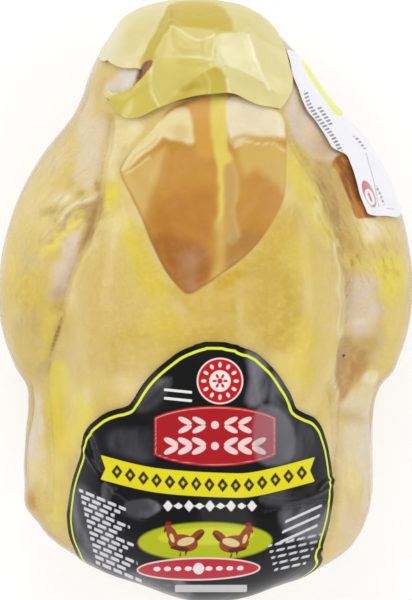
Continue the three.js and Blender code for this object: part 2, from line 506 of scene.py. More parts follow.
class MaterialBench:
    """Puts one material's nodes together around a Principled shader."""

    def __init__(self, name: str) -> None:
        """Starts an empty material.

        Args:
            name: the material's name.
        """
        self.material = bpy.data.materials.new(name)
        self.material.use_nodes = True
        self.nodes = self.material.node_tree.nodes
        self.links = self.material.node_tree.links
        self.shader = self.nodes["Principled BSDF"]
        self.output = self.nodes["Material Output"]
        self.place = add_node(self.nodes, "TexCoord").outputs["Object"]

    def settings(self, **values: object) -> None:
        """Sets constants on the shader's own sockets.

        Args:
            values: the constants by the socket's name, with _ for a space.
        """
        for name, value in values.items():
            self.shader.inputs[name.replace("_", " ")].default_value = value

    def feed(self, name: str, source: Socket) -> None:
        """Links a pattern or a colour to the shader's socket of that name."""
        self.links.new(source, self.shader.inputs[name])

    def stored(self, name: str, output: str = "Fac") -> Socket:
        """Returns the socket of a stored attribute: its number, or its colour if the output is Color."""
        return add_node(self.nodes, "Attribute", attribute_name=name).outputs[output]

    def noise(self, scale: float, detail: float = 3.0, distortion: float = 0.0) -> Socket:
        """Adds a noise pattern.

        Args:
            scale: how fine it is, in patterns to the metre.
            detail: how many finer layers it has.
            distortion: how far it is pulled about.

        Returns:
            The socket with the pattern, 0 to 1.
        """
        node = add_node(self.nodes, "TexNoise", {"Scale": scale, "Detail": detail, "Distortion": distortion})
        self.links.new(self.place, node.inputs["Vector"])
        return node.outputs["Fac"]

    def cells(self, scale: float) -> Socket:
        """Adds a pattern of small cells, given in cells to the metre, and returns the distance in each."""
        node = add_node(self.nodes, "TexVoronoi", {"Scale": scale})
        self.links.new(self.place, node.inputs["Vector"])
        return node.outputs["Distance"]

    def off_edge(self, name: str) -> Socket:
        """Returns a stored distance from an edge, without its sign."""
        return self.math("ABSOLUTE", self.stored(name), 0.0)

    def streaks(self, scale: float, length: float, turn: float) -> Socket:
        """Adds a noise pattern drawn out along one way.

        Args:
            scale: how fine it is, in patterns to the metre.
            length: how many times longer than wide the streaks are.
            turn: the way that they run, in degrees from the object's X axis.

        Returns:
            The socket with the pattern, 0 to 1.
        """
        mapping = add_node(self.nodes, "Mapping", vector_type="TEXTURE")
        mapping.inputs["Scale"].default_value = (length, 1.0, 1.0)
        mapping.inputs["Rotation"].default_value = (0.0, 0.0, math.radians(turn))
        self.links.new(self.place, mapping.inputs["Vector"])
        node = add_node(self.nodes, "TexNoise", {"Scale": scale, "Detail": 3.0})
        self.links.new(mapping.outputs["Vector"], node.inputs["Vector"])
        return node.outputs["Fac"]

    def remap(self, source: Socket, ends: tuple[float, float, float, float]) -> Socket:
        """Maps a range of numbers smoothly to another.

        Args:
            source: the numbers.
            ends: from low, from high, to low and to high.

        Returns:
            The socket with the new numbers.
        """
        values = dict(zip(("From Min", "From Max", "To Min", "To Max"), ends))
        node = add_node(self.nodes, "MapRange", values, interpolation_type="SMOOTHSTEP")
        self.links.new(source, node.inputs["Value"])
        return node.outputs["Result"]

    def _put(self, value: object, socket: Socket) -> None:
        """Gives a socket a number or a colour, or links another socket to it."""
        if isinstance(value, tuple):
            socket.default_value = (*value, 1.0)
        elif isinstance(value, float):
            socket.default_value = value
        else:
            self.links.new(value, socket)

    def math(self, operation: str, first: Socket, second: object) -> Socket:
        """Adds a sum of two numbers.

        Args:
            operation: which sum.
            first: the first number.
            second: the second number, a socket or a value.

        Returns:
            The socket with the result.
        """
        node = add_node(self.nodes, "Math", operation=operation)
        self._put(first, node.inputs[0])
        self._put(second, node.inputs[1])
        return node.outputs["Value"]

    def mix(self, factor: Socket, low: object, high: object) -> Socket:
        """Mixes two colours.

        Args:
            factor: how much of the second colour shows.
            low: the first colour, a socket or a colour.
            high: the second colour, a socket or a colour.

        Returns:
            The socket with the mixed colour.
        """
        node = add_node(self.nodes, "Mix", data_type="RGBA")
        self._put(factor, node.inputs["Factor"])
        self._put(low, node.inputs["A"])
        self._put(high, node.inputs["B"])
        return node.outputs["Result"]

    def mask(self, name: str, softness: float) -> Socket:
        """Adds the crisp mask of a printed shape.

        Args:
            name: the attribute that holds the distance from its edge.
            softness: the width of its edge, in dots.

        Returns:
            The socket with the mask.
        """
        node = add_node(self.nodes, "Group", node_tree=SharedEffects.edge_mask())
        node.inputs["Softness"].default_value = softness
        self.links.new(self.stored(name), node.inputs["Distance"])
        return node.outputs["Mask"]

    def mottled(self, colour: Socket, patch: Colour, scale: float, strength: float, flecks: float) -> Socket:
        """Breaks up a colour with the shared mottling.

        Args:
            colour: the colour's socket.
            patch: the colour of the patches.
            scale: patches to the metre.
            strength: how much the patches show.
            flecks: how much the fine flecks show.

        Returns:
            The socket with the mottled colour.
        """
        node = add_node(self.nodes, "Group", node_tree=SharedEffects.mottling())
        names = ("Color", "Patch Color", "Patch Scale", "Patch Strength", "Fleck Strength")
        for name, value in zip(names, (colour, patch, scale, strength, flecks)):
            self._put(value, node.inputs[name])
        return node.outputs["Color"]

    def bump(self, height: Socket, distance: float, strength: float = 1.0) -> None:
        """Adds a relief to the shader, on top of any that it has.

        Args:
            height: the relief's height, 0 to 1.
            distance: the height of 1, in metres.
            strength: how much of it shows.
        """
        node = add_node(self.nodes, "Bump", {"Distance": distance, "Strength": strength})
        self._put(height, node.inputs["Height"])
        socket = self.shader.inputs["Normal"]
        if socket.is_linked:
            self.links.new(socket.links[0].from_socket, node.inputs["Normal"])
        self.links.new(node.outputs["Normal"], socket)


# The bird


def plain(colour: Colour | Enum) -> Array:
    """Returns a colour, or the colour that a name stands for, as numbers."""
    return np.array(colour.value if isinstance(colour, Enum) else colour)


class Profile(Enum):
    """The section of a groove or ridge."""

    ROUND = "round"
    SHARP = "sharp"


@dataclass(frozen=True)
class Stroke:
    """A groove or a ridge along a line of the photo view."""

    path: Line
    width: float
    height: float
    profile: Profile = Profile.ROUND

    def away(self, across: Array, down: Array) -> Array:
        """Gives the distance of each dot from its line, in dots."""
        line = rounded(self.path) if self.profile is Profile.ROUND and len(self.path) > 2 else list(self.path)
        return distance_to_path(across, down, line)

    def lift(self, across: Array, down: Array) -> Array:
        """Gives its height at each dot, in millimetres."""
        away = self.away(across, down) / self.width
        if self.profile is Profile.SHARP:
            return self.height * np.clip(1 - away, 0, 1)
        return self.height * np.exp(-away * away)


@dataclass(frozen=True)
class Swelling:
    """A rounded rise or dip of the photo view."""

    centre: Spot
    half: Spot
    turn: float
    height: float

    def share(self, across: Array, down: Array) -> Array:
        """Gives how much of it there is at each dot, 0 to 1."""
        cos, sin = math.cos(math.radians(self.turn)), math.sin(math.radians(self.turn))
        dx, dy = across - self.centre[0], down - self.centre[1]
        x = (dx * cos + dy * sin) / self.half[0]
        y = (dy * cos - dx * sin) / self.half[1]
        return np.exp(-(x * x + y * y))

    def lift(self, across: Array, down: Array) -> Array:
        """Gives its height at each dot, in millimetres."""
        return self.height * self.share(across, down)


@dataclass(frozen=True)
class Tone:
    """A soft patch of colour on the skin, in the photo view."""

    colour: Colour | Enum
    centre: Spot
    half: Spot
    turn: float = 0.0
    strength: float = 1.0

    def share(self, across: Array, down: Array) -> Array:
        """Gives how much of it there is at each dot, 0 to 1."""
        soft = Swelling(self.centre, self.half, self.turn, 1.0).share(across, down)
        return np.clip(soft * 1.35, 0, 1) * self.strength


@dataclass(frozen=True)
class Patch:
    """A patch of colour with a drawn outline, in the photo view."""

    colour: Colour | Enum
    outline: Line
    soft: float = 4.0
    strength: float = 1.0

    def share(self, across: Array, down: Array) -> Array:
        """Gives how much of it there is at each dot, 0 to 1."""
        side = side_of_outline(across, down, rounded(self.outline, steps=3, closed=True))
        return smooth(self.soft, -self.soft, side) * self.strength


@dataclass(frozen=True)
class Trace:
    """A soft line of colour, in the photo view."""

    colour: Colour | Enum
    path: Line
    width: float
    strength: float = 1.0

    def share(self, across: Array, down: Array) -> Array:
        """Gives how much of it there is at each dot, 0 to 1."""
        away = distance_to_path(across, down, rounded(self.path, steps=4)) / self.width
        return np.exp(-away * away) * self.strength


def over(colour: Array, tone: Colour | Enum, share: Array) -> Array:
    """Lays a tone over the colours by a share for each point."""
    weight = np.clip(share, 0, 1)[:, None]
    return colour * (1 - weight) + plain(tone) * weight


class Membrane:
    """A sheet drawn tight across the hollow."""

    LOWEST = 55 * MM
    START = 102 * MM
    SLOPE = 0.17
    PIVOT = -5 * MM

    @staticmethod
    def free_points(obj: Piece, margin: float) -> Array:
        """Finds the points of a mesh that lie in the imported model's hollow or on its wall.

        Args:
            obj: the mesh.
            margin: how far past the hollow's lip the sheet is free, in dots.

        Returns:
            True for each point that may move.
        """
        points, _ = read_mesh(obj)
        across, down = VIEW.project(points)
        edge = side_of_outline(across, down, rounded(PACKED_LIP, closed=True))
        return (edge < margin) & (points[:, 2] > Membrane.LOWEST)

    @staticmethod
    def draw(obj: Piece, free: Array, draws: int) -> Array:
        """Evens out the free points between the others until they span the hollow.

        Args:
            obj: the mesh.
            free: which of its points may move.
            draws: how many times they are evened out.

        Returns:
            The points in their new places.
        """
        points, _ = read_mesh(obj)
        points[free, 2] = Membrane.START - Membrane.SLOPE * (points[free, 1] - Membrane.PIVOT)
        ends = np.empty(len(obj.data.edges) * 2, int)
        obj.data.edges.foreach_get("vertices", ends)
        first, second = ends.reshape(-1, 2).T
        near = free[first] | free[second]
        first, second = first[near], second[near]
        count = np.bincount(first, minlength=len(points)) + np.bincount(second, minlength=len(points))
        for _ in range(draws):
            for axis in range(3):
                line = points[:, axis]
                total = np.bincount(first, line[second], len(points))
                total += np.bincount(second, line[first], len(points))
                points[free, axis] = total[free] / count[free]
        return points


class Hue(Enum):
    """The colours of the raw bird as they look through the film, under soft white light."""

    CREAM = linear(221, 197, 128)
    IVORY = linear(236, 220, 166)
    SHELL = linear(238, 226, 192)
    BUTTER = linear(219, 195, 98)
    YELLOW = linear(220, 196, 74)
    LEMON = linear(233, 216, 90)
    CANARY = linear(228, 207, 106)
    OCHRE = linear(207, 168, 58)
    HONEY = linear(203, 172, 80)
    PEACH = linear(218, 189, 120)
    BLUSH = linear(227, 212, 182)
    LILAC = linear(224, 205, 184)
    MIST = linear(226, 219, 214)
    ROSE = linear(210, 182, 150)
    GREIGE = linear(206, 190, 148)
    OLIVE = linear(194, 172, 108)
    SAND = linear(215, 180, 104)
    TAN = linear(203, 173, 116)
    FAWN = linear(188, 150, 98)
    APRICOT = linear(214, 160, 76)
    AMBER = linear(200, 147, 70)
    SIENNA = linear(192, 133, 61)
    BRICK = linear(176, 117, 64)
    MAUVE = linear(188, 142, 108)
    BROWN = linear(186, 140, 80)
    # Painted shadow in the gap at the foil's notch
    NOTCH_SHADOW = linear(118, 72, 32)


# The hollow's outline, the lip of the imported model's hollow, which is a little wider, and the edges of the
# breast skin, in dots of the photo view
HOLLOW: Line = (
    (121, 174), (124, 162), (135, 147), (150, 133), (160, 120), (172, 108), (205, 96), (250, 96),
    (279, 112), (286, 135), (286.5, 165), (285, 190), (281, 205), (274, 219), (258, 243), (244, 257),
    (225, 271), (208, 283), (190, 293.5), (180, 288), (166, 271), (152, 243), (143, 220), (132, 197),
)
PACKED_LIP: Line = (
    (112, 172), (128, 140), (148, 112), (166, 96), (205, 84), (250, 84), (286, 88), (298, 110), (299, 150),
    (296, 196), (276, 240), (250, 268), (216, 290), (191, 306), (166, 290), (143, 248), (124, 206),
)
LEFT_EDGE: Line = (
    (112, 120), (110, 143), (105, 165), (102, 190), (100, 206), (94, 226), (87, 243), (77, 263),
    (69, 285), (62, 312),
)
RIGHT_EDGE: Line = (
    (286, 130), (296, 150), (310, 171), (320, 184), (327, 198), (333, 220), (337, 240), (341, 262),
    (343, 280), (344, 302), (343, 324), (341, 350), (338, 375), (336, 404), (333, 450), (330, 500),
)


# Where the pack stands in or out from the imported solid, in dots of the photo view
PACK_SHAPE: tuple[Swelling, ...] = (
    Swelling((104, 34), (14, 44), 30, -2.6),
    Swelling((288, 38), (14, 44), -30, -2.2),
    Swelling((18, 440), (12, 32), 0, -1.4),
    Swelling((380, 446), (12, 44), 0, -1.8),
    Swelling((26, 506), (12, 15), 0, 2.4),
    Swelling((14, 374), (12, 14), 0, 0.8),
    Swelling((394, 374), (12, 16), 0, 1.2),
)


def pack_shape(across: Array, down: Array, sideways: Array) -> Array:
    """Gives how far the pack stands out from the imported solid, in millimetres.

    Args:
        across: dots across.
        down: dots down.
        sideways: how much each point faces to the side, 0 to 1.

    Returns:
        The distance at each dot.
    """
    return sum(part.lift(across, down) for part in PACK_SHAPE) * sideways


@dataclass
class Bird:
    """The bird's skin, with the hollow between its legs."""

    voxel: float = 1.27 * MM
    rounding: int = 16
    gloss: float = 0.05
    darkest: float = 0.004
    highest_lift: float = -0.45
    highest_lift_below: float = -0.6
    lowest_hollow: float = 40 * MM
    lowest_slit: float = 20 * MM
    grooves: tuple[Stroke, ...] = (
        Stroke(tuple((x - 4, y) for x, y in LEFT_EDGE), 4.5, -2.6),
        Stroke(tuple((x + 3, y) for x, y in LEFT_EDGE), 5.0, 0.9),
        Stroke(tuple((x + 5, y) for x, y in RIGHT_EDGE), 4.5, -2.8),
        Stroke(tuple((x - 4, y) for x, y in RIGHT_EDGE), 5.0, 0.9),
        Stroke(((61, 316), (55, 340), (49, 360), (43, 377)), 3.0, -1.8),
        Stroke(((66, 318), (60, 342), (53, 364), (47, 380)), 4.0, 0.8),
        Stroke(((44, 372), (40, 385), (36, 400)), 6.0, -2.0),
        Stroke(((43, 395), (47, 440), (48, 480), (46, 515)), 3.5, -2.2),
        Stroke(((337, 388), (345, 410), (362, 416), (382, 412), (392, 402)), 6.5, -4.2),
        Stroke(((338, 412), (340, 460), (338, 500), (333, 540)), 4.0, -2.2),
        Stroke(((241, 285), (244, 320), (243, 350)), 3.5, 0.25),
        Stroke(((203, 290), (205, 315)), 8.0, -0.5),
    )
    forms: tuple[object, ...] = (
        Swelling((64, 264), (11, 28), 20, 1.5),
        Stroke(((50, 216), (70, 206), (98, 196)), 3.4, 0.9),
        Stroke(((44, 236), (60, 226), (82, 214)), 3.4, 0.8),
        Stroke(((48, 250), (62, 238), (82, 226)), 3.4, 0.9),
        Stroke(((54, 206), (76, 197), (98, 188)), 2.6, -0.8),
        Stroke(((46, 226), (62, 217), (84, 206)), 2.6, -0.8),
        Stroke(((80, 246), (66, 262), (56, 290)), 2.6, -0.4),
        Stroke(((44, 258), (42, 284), (46, 304)), 3.0, -0.6),
        Stroke(((322, 182), (334, 200), (340, 224)), 3.4, 0.8),
        Stroke(((350, 222), (358, 244), (360, 270)), 3.2, 0.7),
        Stroke(((344, 226), (350, 250), (352, 276)), 3.0, -0.7),
        Stroke(((372, 230), (372, 262), (368, 290)), 4.0, -0.5),
        Stroke(((306, 157), (322, 159), (338, 158)), 2.2, -0.9),
        Swelling((345, 382), (14, 22), 0, -1.2),
        Swelling((354, 325), (12, 34), 0, 0.7),
        Swelling((380, 396), (12, 14), 0, 0.8),
    )
    hollow_forms: tuple[Swelling, ...] = (
        Swelling((176, 126), (18, 13), -26, 1.2),
        Swelling((255, 119), (26, 14), 8, 1.6),
        Swelling((220, 185), (5, 90), 1, 1.3),
        Swelling((230, 200), (8, 34), 1, 0.5),
        Swelling((146, 186), (12, 34), -16, 0.8),
        Swelling((264, 165), (16, 14), 0, 0.8),
    )
    air_gaps: tuple[Swelling, ...] = (
        Swelling((18, 402), (14, 28), -6, -3.0),
        Swelling((396, 406), (14, 24), 8, -3.0),
        Swelling((70, 108), (12, 34), 28, -2.4),
        Swelling((60, 552), (40, 14), 32, -1.8),
    )
    crinkles: tuple[Swelling, ...] = (
        Swelling((80, 200), (26, 22), -20, 0.8),
        Swelling((60, 228), (26, 18), -30, 0.8),
        Swelling((330, 205), (14, 42), -18, 1.0),
        Swelling((350, 250), (16, 34), -6, 1.0),
        Swelling((166, 121), (14, 8), -14, 0.35),
        Swelling((386, 250), (14, 40), 0, 0.7),
        Swelling((96, 250), (10, 40), 14, 0.3),
        Swelling((60, 156), (9, 30), 32, 0.5),
        Swelling((24, 300), (14, 40), 0, 0.35),
    )
    draws: int = 350
    # Where shade is painted in the slit below the breast's left edge
    slit_shade: Line = ((62, 317), (58, 331), (53, 346), (48, 362), (43, 377))
    speck: Spot = (343.5, 356)
    bare_muscle: Line = (
        (337, 156), (349, 156), (357, 169), (364, 190), (370, 207), (377, 216.5), (366, 218),
        (356, 217.5), (351, 205), (344, 188), (337, 171), (332, 165),
    )
    tones: tuple[object, ...] = (
        # the breast, from its point down
        Patch(Hue.HONEY, ((165, 290), (215, 290), (242, 292), (238, 345), (200, 350), (160, 342)), 13, 0.95),
        Patch(Hue.PEACH, ((92, 268), (122, 262), (140, 300), (148, 345), (110, 368), (84, 350)), 12, 0.9),
        Patch(Hue.YELLOW, ((124, 226), (138, 230), (152, 260), (168, 288), (158, 306), (138, 282)), 6, 0.85),
        Patch(Hue.OCHRE, ((216, 274), (240, 268), (240, 288), (220, 294)), 5, 0.85),
        Patch(Hue.OCHRE, ((260, 234), (288, 205), (300, 235), (284, 262), (262, 264)), 9, 0.7),
        Patch(Hue.YELLOW, ((284, 318), (312, 316), (318, 350), (300, 362), (284, 350)), 8, 0.9),
        Tone(Hue.BUTTER, (170, 345), (30, 14), 0, 0.6),
        Tone(Hue.PEACH, (247, 318), (9, 34), 0, 0.6),
        Tone(Hue.CANARY, (292, 371), (14, 10), 0, 0.7),
        Tone(Hue.BUTTER, (300, 262), (20, 24), 0, 0.8),
        Tone(Hue.CREAM, (330, 300), (10, 50), 0, 0.7),
        # Painted highlight along the breast skin's right edge
        Tone(Hue.IVORY, (339, 350), (4, 18), 4, 0.55),
        Patch(Hue.HONEY, ((240, 262), (286, 262), (302, 300), (298, 346), (262, 346), (244, 300)), 12, 0.85),
        Patch(Hue.HONEY, ((116, 330), (190, 336), (192, 362), (146, 378), (112, 372)), 9, 0.65),
        Tone(Hue.YELLOW, (300, 374), (15, 13), 0, 0.6),
        Tone(Hue.OCHRE, (205, 300), (24, 16), 0, 0.6),
        Tone(Hue.OCHRE, (200, 332), (22, 14), 0, 0.35),
        Tone(Hue.YELLOW, (160, 322), (20, 16), 0, 0.6),
        Tone(Hue.IVORY, (180, 312), (8, 6), 20, 0.3),
        # the skin's two flanks beside the hollow
        Patch(Hue.IVORY, ((104, 172), (108, 140), (118, 118), (136, 118), (138, 134), (122, 156),
            (116, 184)), 4),
        Trace(Hue.ROSE, ((122, 149), (119, 157), (118, 165)), 3.0, 0.55),
        Tone(Hue.LEMON, (112, 201), (8, 15), 4, 1.0),
        Tone(Hue.IVORY, (114, 226), (10, 12), 14, 0.6),
        Tone(Hue.LEMON, (129, 240), (8, 24), -20, 0.4),
        Patch(Hue.LEMON, ((287, 150), (300, 164), (318, 190), (328, 216), (334, 242), (322, 238),
            (290, 186)), 8, 0.6),
        Tone(Hue.IVORY, (319, 211), (5, 10), -14, 0.6),
        # the strips beside the label
        Patch(Hue.LEMON, ((47, 366), (67, 366), (76, 392), (96, 408), (86, 430), (70, 448), (54, 440),
            (50, 400)), 6),
        Patch(Hue.LEMON, ((48, 445), (68, 445), (64, 480), (66, 524), (52, 522), (46, 480)), 6, 0.5),
        Tone(Hue.IVORY, (52, 474), (9, 24), 0, 0.6),
        Tone(Hue.CREAM, (78, 556), (20, 14), 30, 0.5),
        Tone(Hue.IVORY, (338, 480), (5, 60), 0, 0.7),
        Tone(Hue.SHELL, (333, 442), (6, 28), 0, 0.7),
        Tone(Hue.YELLOW, (62, 414), (10, 28), 6, 0.7),
        Tone(Hue.IVORY, (87, 394), (8, 10), 0, 0.6),
        Trace(Hue.IVORY, tuple((x + 5, y) for x, y in LEFT_EDGE[5:]), 3.0, 0.5),
        # the wings
        Tone(Hue.BLUSH, (31, 438), (9, 34), 0, 0.9),
        Tone(Hue.IVORY, (33, 472), (8, 12), 0, 0.6),
        Tone(Hue.AMBER, (29, 503), (8, 12), 0, 0.9),
        Tone(Hue.BLUSH, (356, 446), (14, 34), 0, 0.9),
        Tone(Hue.IVORY, (352, 482), (10, 16), 0, 0.7),
        Tone(Hue.LILAC, (352, 524), (14, 20), 0, 0.7),
        Patch(Hue.MIST, ((362, 404), (376, 408), (376, 500), (368, 540), (364, 470)), 4, 0.6),
        Patch(Hue.MIST, ((22, 396), (40, 390), (38, 424), (30, 452), (22, 444)), 4, 0.6),
        # the left thigh
        Patch(Hue.BLUSH, ((80, 116), (106, 118), (104, 150), (99, 180), (84, 186), (76, 166)), 7, 0.95),
        Tone(Hue.BLUSH, (60, 152), (9, 22), 32, 0.45),
        Tone(Hue.BLUSH, (85, 112), (8, 12), 0, 0.55),
        Tone(Hue.BLUSH, (96, 172), (6, 12), 10, 0.5),
        Tone(Hue.IVORY, (38, 204), (16, 36), 24, 0.55),
        # Painted shadow beside the breast's left edge
        Patch(Hue.FAWN, ((82, 207), (102, 195), (100, 214), (92, 227), (84, 218)), 4, 0.95),
        # Painted highlight on the crinkles
        Tone(Hue.SHELL, (63, 196), (9, 5), -14, 0.95),
        Tone(Hue.OLIVE, (80, 192), (7, 5), -20, 0.85),
        Tone(Hue.FAWN, (100, 187), (3.5, 4.5), 0, 0.85),
        Tone(Hue.OLIVE, (50, 211), (8, 5), -10, 0.8),
        Trace(Hue.LEMON, ((46, 248), (60, 236), (74, 223), (86, 214)), 4.0, 0.75),
        Trace(Hue.OLIVE, ((56, 226), (70, 216), (86, 207)), 3.0, 0.6),
        Trace(Hue.SHELL, ((60, 218), (76, 206), (98, 196)), 2.6, 0.7),
        Tone(Hue.FAWN, (87, 235), (5, 14), 24, 1.0),
        Patch(Hue.LILAC, ((62, 242), (74, 234), (79, 240), (75, 258), (68, 280), (58, 296), (50, 296),
            (54, 258)), 5),
        Tone(Hue.ROSE, (53, 295), (6, 9), 20, 0.9),
        Tone(Hue.GREIGE, (28, 258), (7, 18), 0, 0.6),
        Tone(Hue.CANARY, (12, 262), (6, 26), 0, 0.6),
        Tone(Hue.PEACH, (15, 240), (5, 10), 0, 0.5),
        Patch(Hue.BUTTER, ((14, 280), (38, 272), (42, 298), (30, 312), (16, 304)), 6, 0.8),
        Tone(Hue.TAN, (28, 322), (10, 16), 0, 0.6),
        Patch(Hue.CANARY, ((42, 320), (57, 318), (50, 345), (42, 362), (37, 350)), 4, 0.8),
        Tone(Hue.BLUSH, (43, 369), (4, 9), 20, 0.6),
        # the right thigh
        Patch(Hue.LILAC, ((286, 98), (297, 86), (304, 100), (326, 134), (340, 156), (312, 159),
            (296, 142), (288, 118)), 4),
        Tone(Hue.ROSE, (322, 147), (12, 10), 20, 0.7),
        Patch(Hue.TAN, ((310, 162), (334, 161), (344, 190), (352, 222), (362, 250), (352, 262),
            (330, 215)), 4, 0.95),
        Tone(Hue.OLIVE, (327, 172), (8, 6), 0, 0.7),
        Tone(Hue.CREAM, (342, 226), (7, 9), 0, 0.7),
        Tone(Hue.OCHRE, (343, 238), (4, 6), 0, 0.75),
        Tone(Hue.OCHRE, (353, 246), (3.5, 5), 0, 0.6),
        Tone(Hue.CANARY, (352, 260), (7, 10), 0, 0.5),
        Patch(Hue.SHELL, ((362, 221), (382, 221), (385, 230), (376, 237), (366, 233)), 4, 0.9),
        Patch(Hue.LEMON, ((379, 258), (402, 256), (404, 286), (396, 300), (380, 296), (376, 276)), 8, 0.9),
        Tone(Hue.IVORY, (392, 232), (10, 12), 0, 0.6),
        Tone(Hue.OCHRE, (396, 273), (2.5, 3.5), 0, 0.6),
        Patch(Hue.LILAC, ((346, 280), (372, 276), (376, 300), (373, 332), (350, 334), (344, 310)), 8, 0.95),
        # Painted highlight
        Tone(Hue.SHELL, (358, 322), (8, 4), 0, 0.5),
        Tone(Hue.FAWN, (347, 289), (2.5, 9), 0, 0.6),
        Patch(Hue.TAN, ((342, 336), (372, 338), (370, 362), (352, 372), (340, 362)), 6, 0.9),
        Patch(Hue.FAWN, ((343, 338), (360, 342), (368, 354), (363, 372), (352, 386), (342, 366)), 4, 0.8),
        Patch(Hue.BROWN, ((338, 358), (353, 354), (358, 372), (350, 390), (337, 394)), 5, 1.0),
        # Painted glint
        Patch(Hue.SHELL, ((362, 373), (376, 368), (378, 378), (366, 385)), 3),
        Patch(Hue.BLUSH, ((340, 398), (360, 388), (380, 384), (388, 396), (370, 412), (348, 412)), 4, 0.7),
        Trace(Hue.GREIGE, ((374, 290), (377, 330), (373, 362)), 3.0, 0.6),
        Tone(Hue.CANARY, (392, 330), (10, 34), 0, 0.4),
        # Painted highlight along the breast skin's right edge
        Trace(Hue.SHELL, tuple((x - 2, y) for x, y in RIGHT_EDGE[6:14]), 1.8, 0.8),
        # beside the foil's notch, with a painted shadow in its gap
        Patch(Hue.MIST, ((108, 90), (122, 72), (138, 65), (134, 82), (124, 89), (110, 94)), 3, 0.9),
        Patch(Hue.NOTCH_SHADOW, ((153, 58), (142, 64), (133, 84), (141, 82), (152, 70)), 1.5),
    )
    hollow_tones: tuple[object, ...] = (
        Patch(Hue.SIENNA, ((166, 196), (214, 190), (214, 240), (190, 262), (168, 262), (152, 236)), 10),
        Patch(Hue.SAND, ((118, 172), (136, 166), (166, 146), (158, 176), (149, 200), (141, 222),
            (128, 196)), 5),
        Patch(Hue.APRICOT, ((190, 100), (213, 96), (214, 130), (213, 156), (200, 156), (191, 130)), 4),
        Patch(Hue.BRICK, ((150, 240), (180, 238), (206, 250), (206, 278), (190, 297), (172, 286)), 6),
        Tone(Hue.MAUVE, (189, 264), (11, 12), 0, 0.7),
        Tone(Hue.MAUVE, (191, 284), (7, 7), 0, 0.7),
        Tone(Hue.BRICK, (206, 270), (5, 10), 20, 0.8),
        Patch(Hue.SAND, ((236, 140), (262, 142), (288, 150), (288, 196), (272, 182), (256, 170),
            (244, 176)), 7),
        Patch(Hue.AMBER, ((238, 182), (256, 178), (272, 188), (288, 200), (272, 222), (256, 240),
            (240, 232)), 7),
        Patch(Hue.BROWN, ((228, 236), (262, 232), (250, 262), (226, 274), (222, 250)), 5),
        Patch(Hue.TAN, ((223, 166), (231, 157), (238, 184), (234, 212), (239, 238), (226, 242),
            (223, 200)), 2.2, 0.6),
        Patch(Hue.CANARY, ((211, 94), (228, 94), (227, 140), (232, 160), (225, 166), (219, 170),
            (212, 138)), 2.2),
        Trace(Hue.CANARY, ((220, 128), (220.5, 160), (221, 190), (220.5, 228)), 3.0),
        Trace(Hue.SAND, ((220, 225), (221, 248), (217, 274)), 6.0, 0.9),
        Trace(Hue.SAND, ((232, 160), (238, 184), (234, 212), (239, 236)), 2.0, 0.7),
        Patch(Hue.IVORY, ((154, 130), (170, 112), (186, 108), (191, 120), (193, 143), (180, 141),
            (164, 137)), 1.8),
        Tone(Hue.PEACH, (180, 132), (8, 8), 0, 0.7),
        Patch(Hue.IVORY, ((120, 172), (126, 156), (150, 130), (160, 122), (164, 136), (146, 153),
            (134, 163)), 2),
        Trace(Hue.SAND, ((127, 166), (140, 152), (158, 138)), 1.6, 0.5),
        Patch(Hue.SHELL, ((227, 100), (246, 98), (266, 102), (288, 108), (291, 136), (256, 136),
            (231, 142)), 2.4),
        Tone(Hue.BLUSH, (250, 112), (12, 9), 0, 0.6),
        # Painted shadow line under the right bulge
        Trace(Hue.SAND, ((232, 140), (242, 137), (262, 138), (284, 139)), 2.6, 0.9),
        # Painted highlight lines of the film
        Trace(Hue.IVORY, ((236, 146), (246, 142), (262, 143), (274, 145), (284, 150)), 1.4, 0.75),
        Trace(Hue.IVORY, ((127, 172), (138, 166), (150, 157)), 1.4, 0.7),
    )
    blotches: tuple[Swelling, ...] = (
        Swelling((20, 262), (20, 60), 0, 1.0),
        Swelling((60, 170), (20, 50), 30, 0.6),
        Swelling((394, 262), (18, 50), 0, 1.0),
        Swelling((60, 420), (16, 60), 0, 0.8),
        Swelling((140, 310), (40, 40), 0, 0.4),
        Swelling((300, 340), (30, 40), 0, 0.4),
        Swelling((56, 520), (16, 30), 0, 0.6),
    )

    def build(self, node: Piece) -> Piece:
        """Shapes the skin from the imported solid.

        Args:
            node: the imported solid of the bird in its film.

        Returns:
            The finished piece.
        """
        obj = copy_of_node(node, "chicken_skin")
        apply_modifier(obj, "REMESH", mode="VOXEL", voxel_size=self.voxel, adaptivity=0.0)
        apply_modifier(obj, "SMOOTH", factor=0.5, iterations=self.rounding)
        self._shape_hollow(obj)
        points, normals = read_mesh(obj)
        points = points + normals * (self._lift(points, normals) * MM)[:, None]
        write_mesh(obj, points)
        apply_modifier(obj, "SMOOTH", factor=0.5, iterations=1)
        self._colour(obj)
        shade_smooth(obj)
        obj.data.materials.append(SkinFinish().make())
        return obj

    def _lift(self, points: Array, normals: Array) -> Array:
        """Gives how far each point of the skin moves out, in millimetres."""
        across, down = VIEW.project(points)
        top = smooth(0.05, 0.45, normals @ VIEW.back())
        edge = side_of_outline(across, down, rounded(HOLLOW, closed=True))
        hollow = smooth(2.0, -3.0, edge) * smooth(0.0, 0.3, normals[:, 2])
        lift = np.full(len(points), Layer.SKIN.value)
        for stroke in self.grooves:
            lift += stroke.lift(across, down) * top * (1 - hollow)
        for form in self.forms:
            lift += form.lift(across, down) * top * (1 - hollow)
        for form in self.hollow_forms:
            lift += form.lift(across, down) * top * hollow
        for gap in self.air_gaps:
            lift += gap.lift(across, down) * (1 - hollow)
        folds = 1 - np.abs(wave_noise(points * np.array([1.0, 0.6, 1.0]), 2.6 * MM, 11)) * 2
        lift += self._crinkle(across, down) * folds * 0.4 * top
        lift += 0.16 * wave_noise(points, 6 * MM, 3) + 0.45 * wave_noise(points, 22 * MM, 5)
        low = smooth(30 * MM, 4 * MM, points[:, 2]) * smooth(-0.2, -0.7, normals[:, 2])
        sideways = smooth(0.9, 0.5, np.abs(normals[:, 2]))
        shape = pack_shape(across, down, sideways)
        upper = np.minimum(lift, self.highest_lift)
        return upper * (1 - low) + low * np.minimum(lift, self.highest_lift_below) + shape

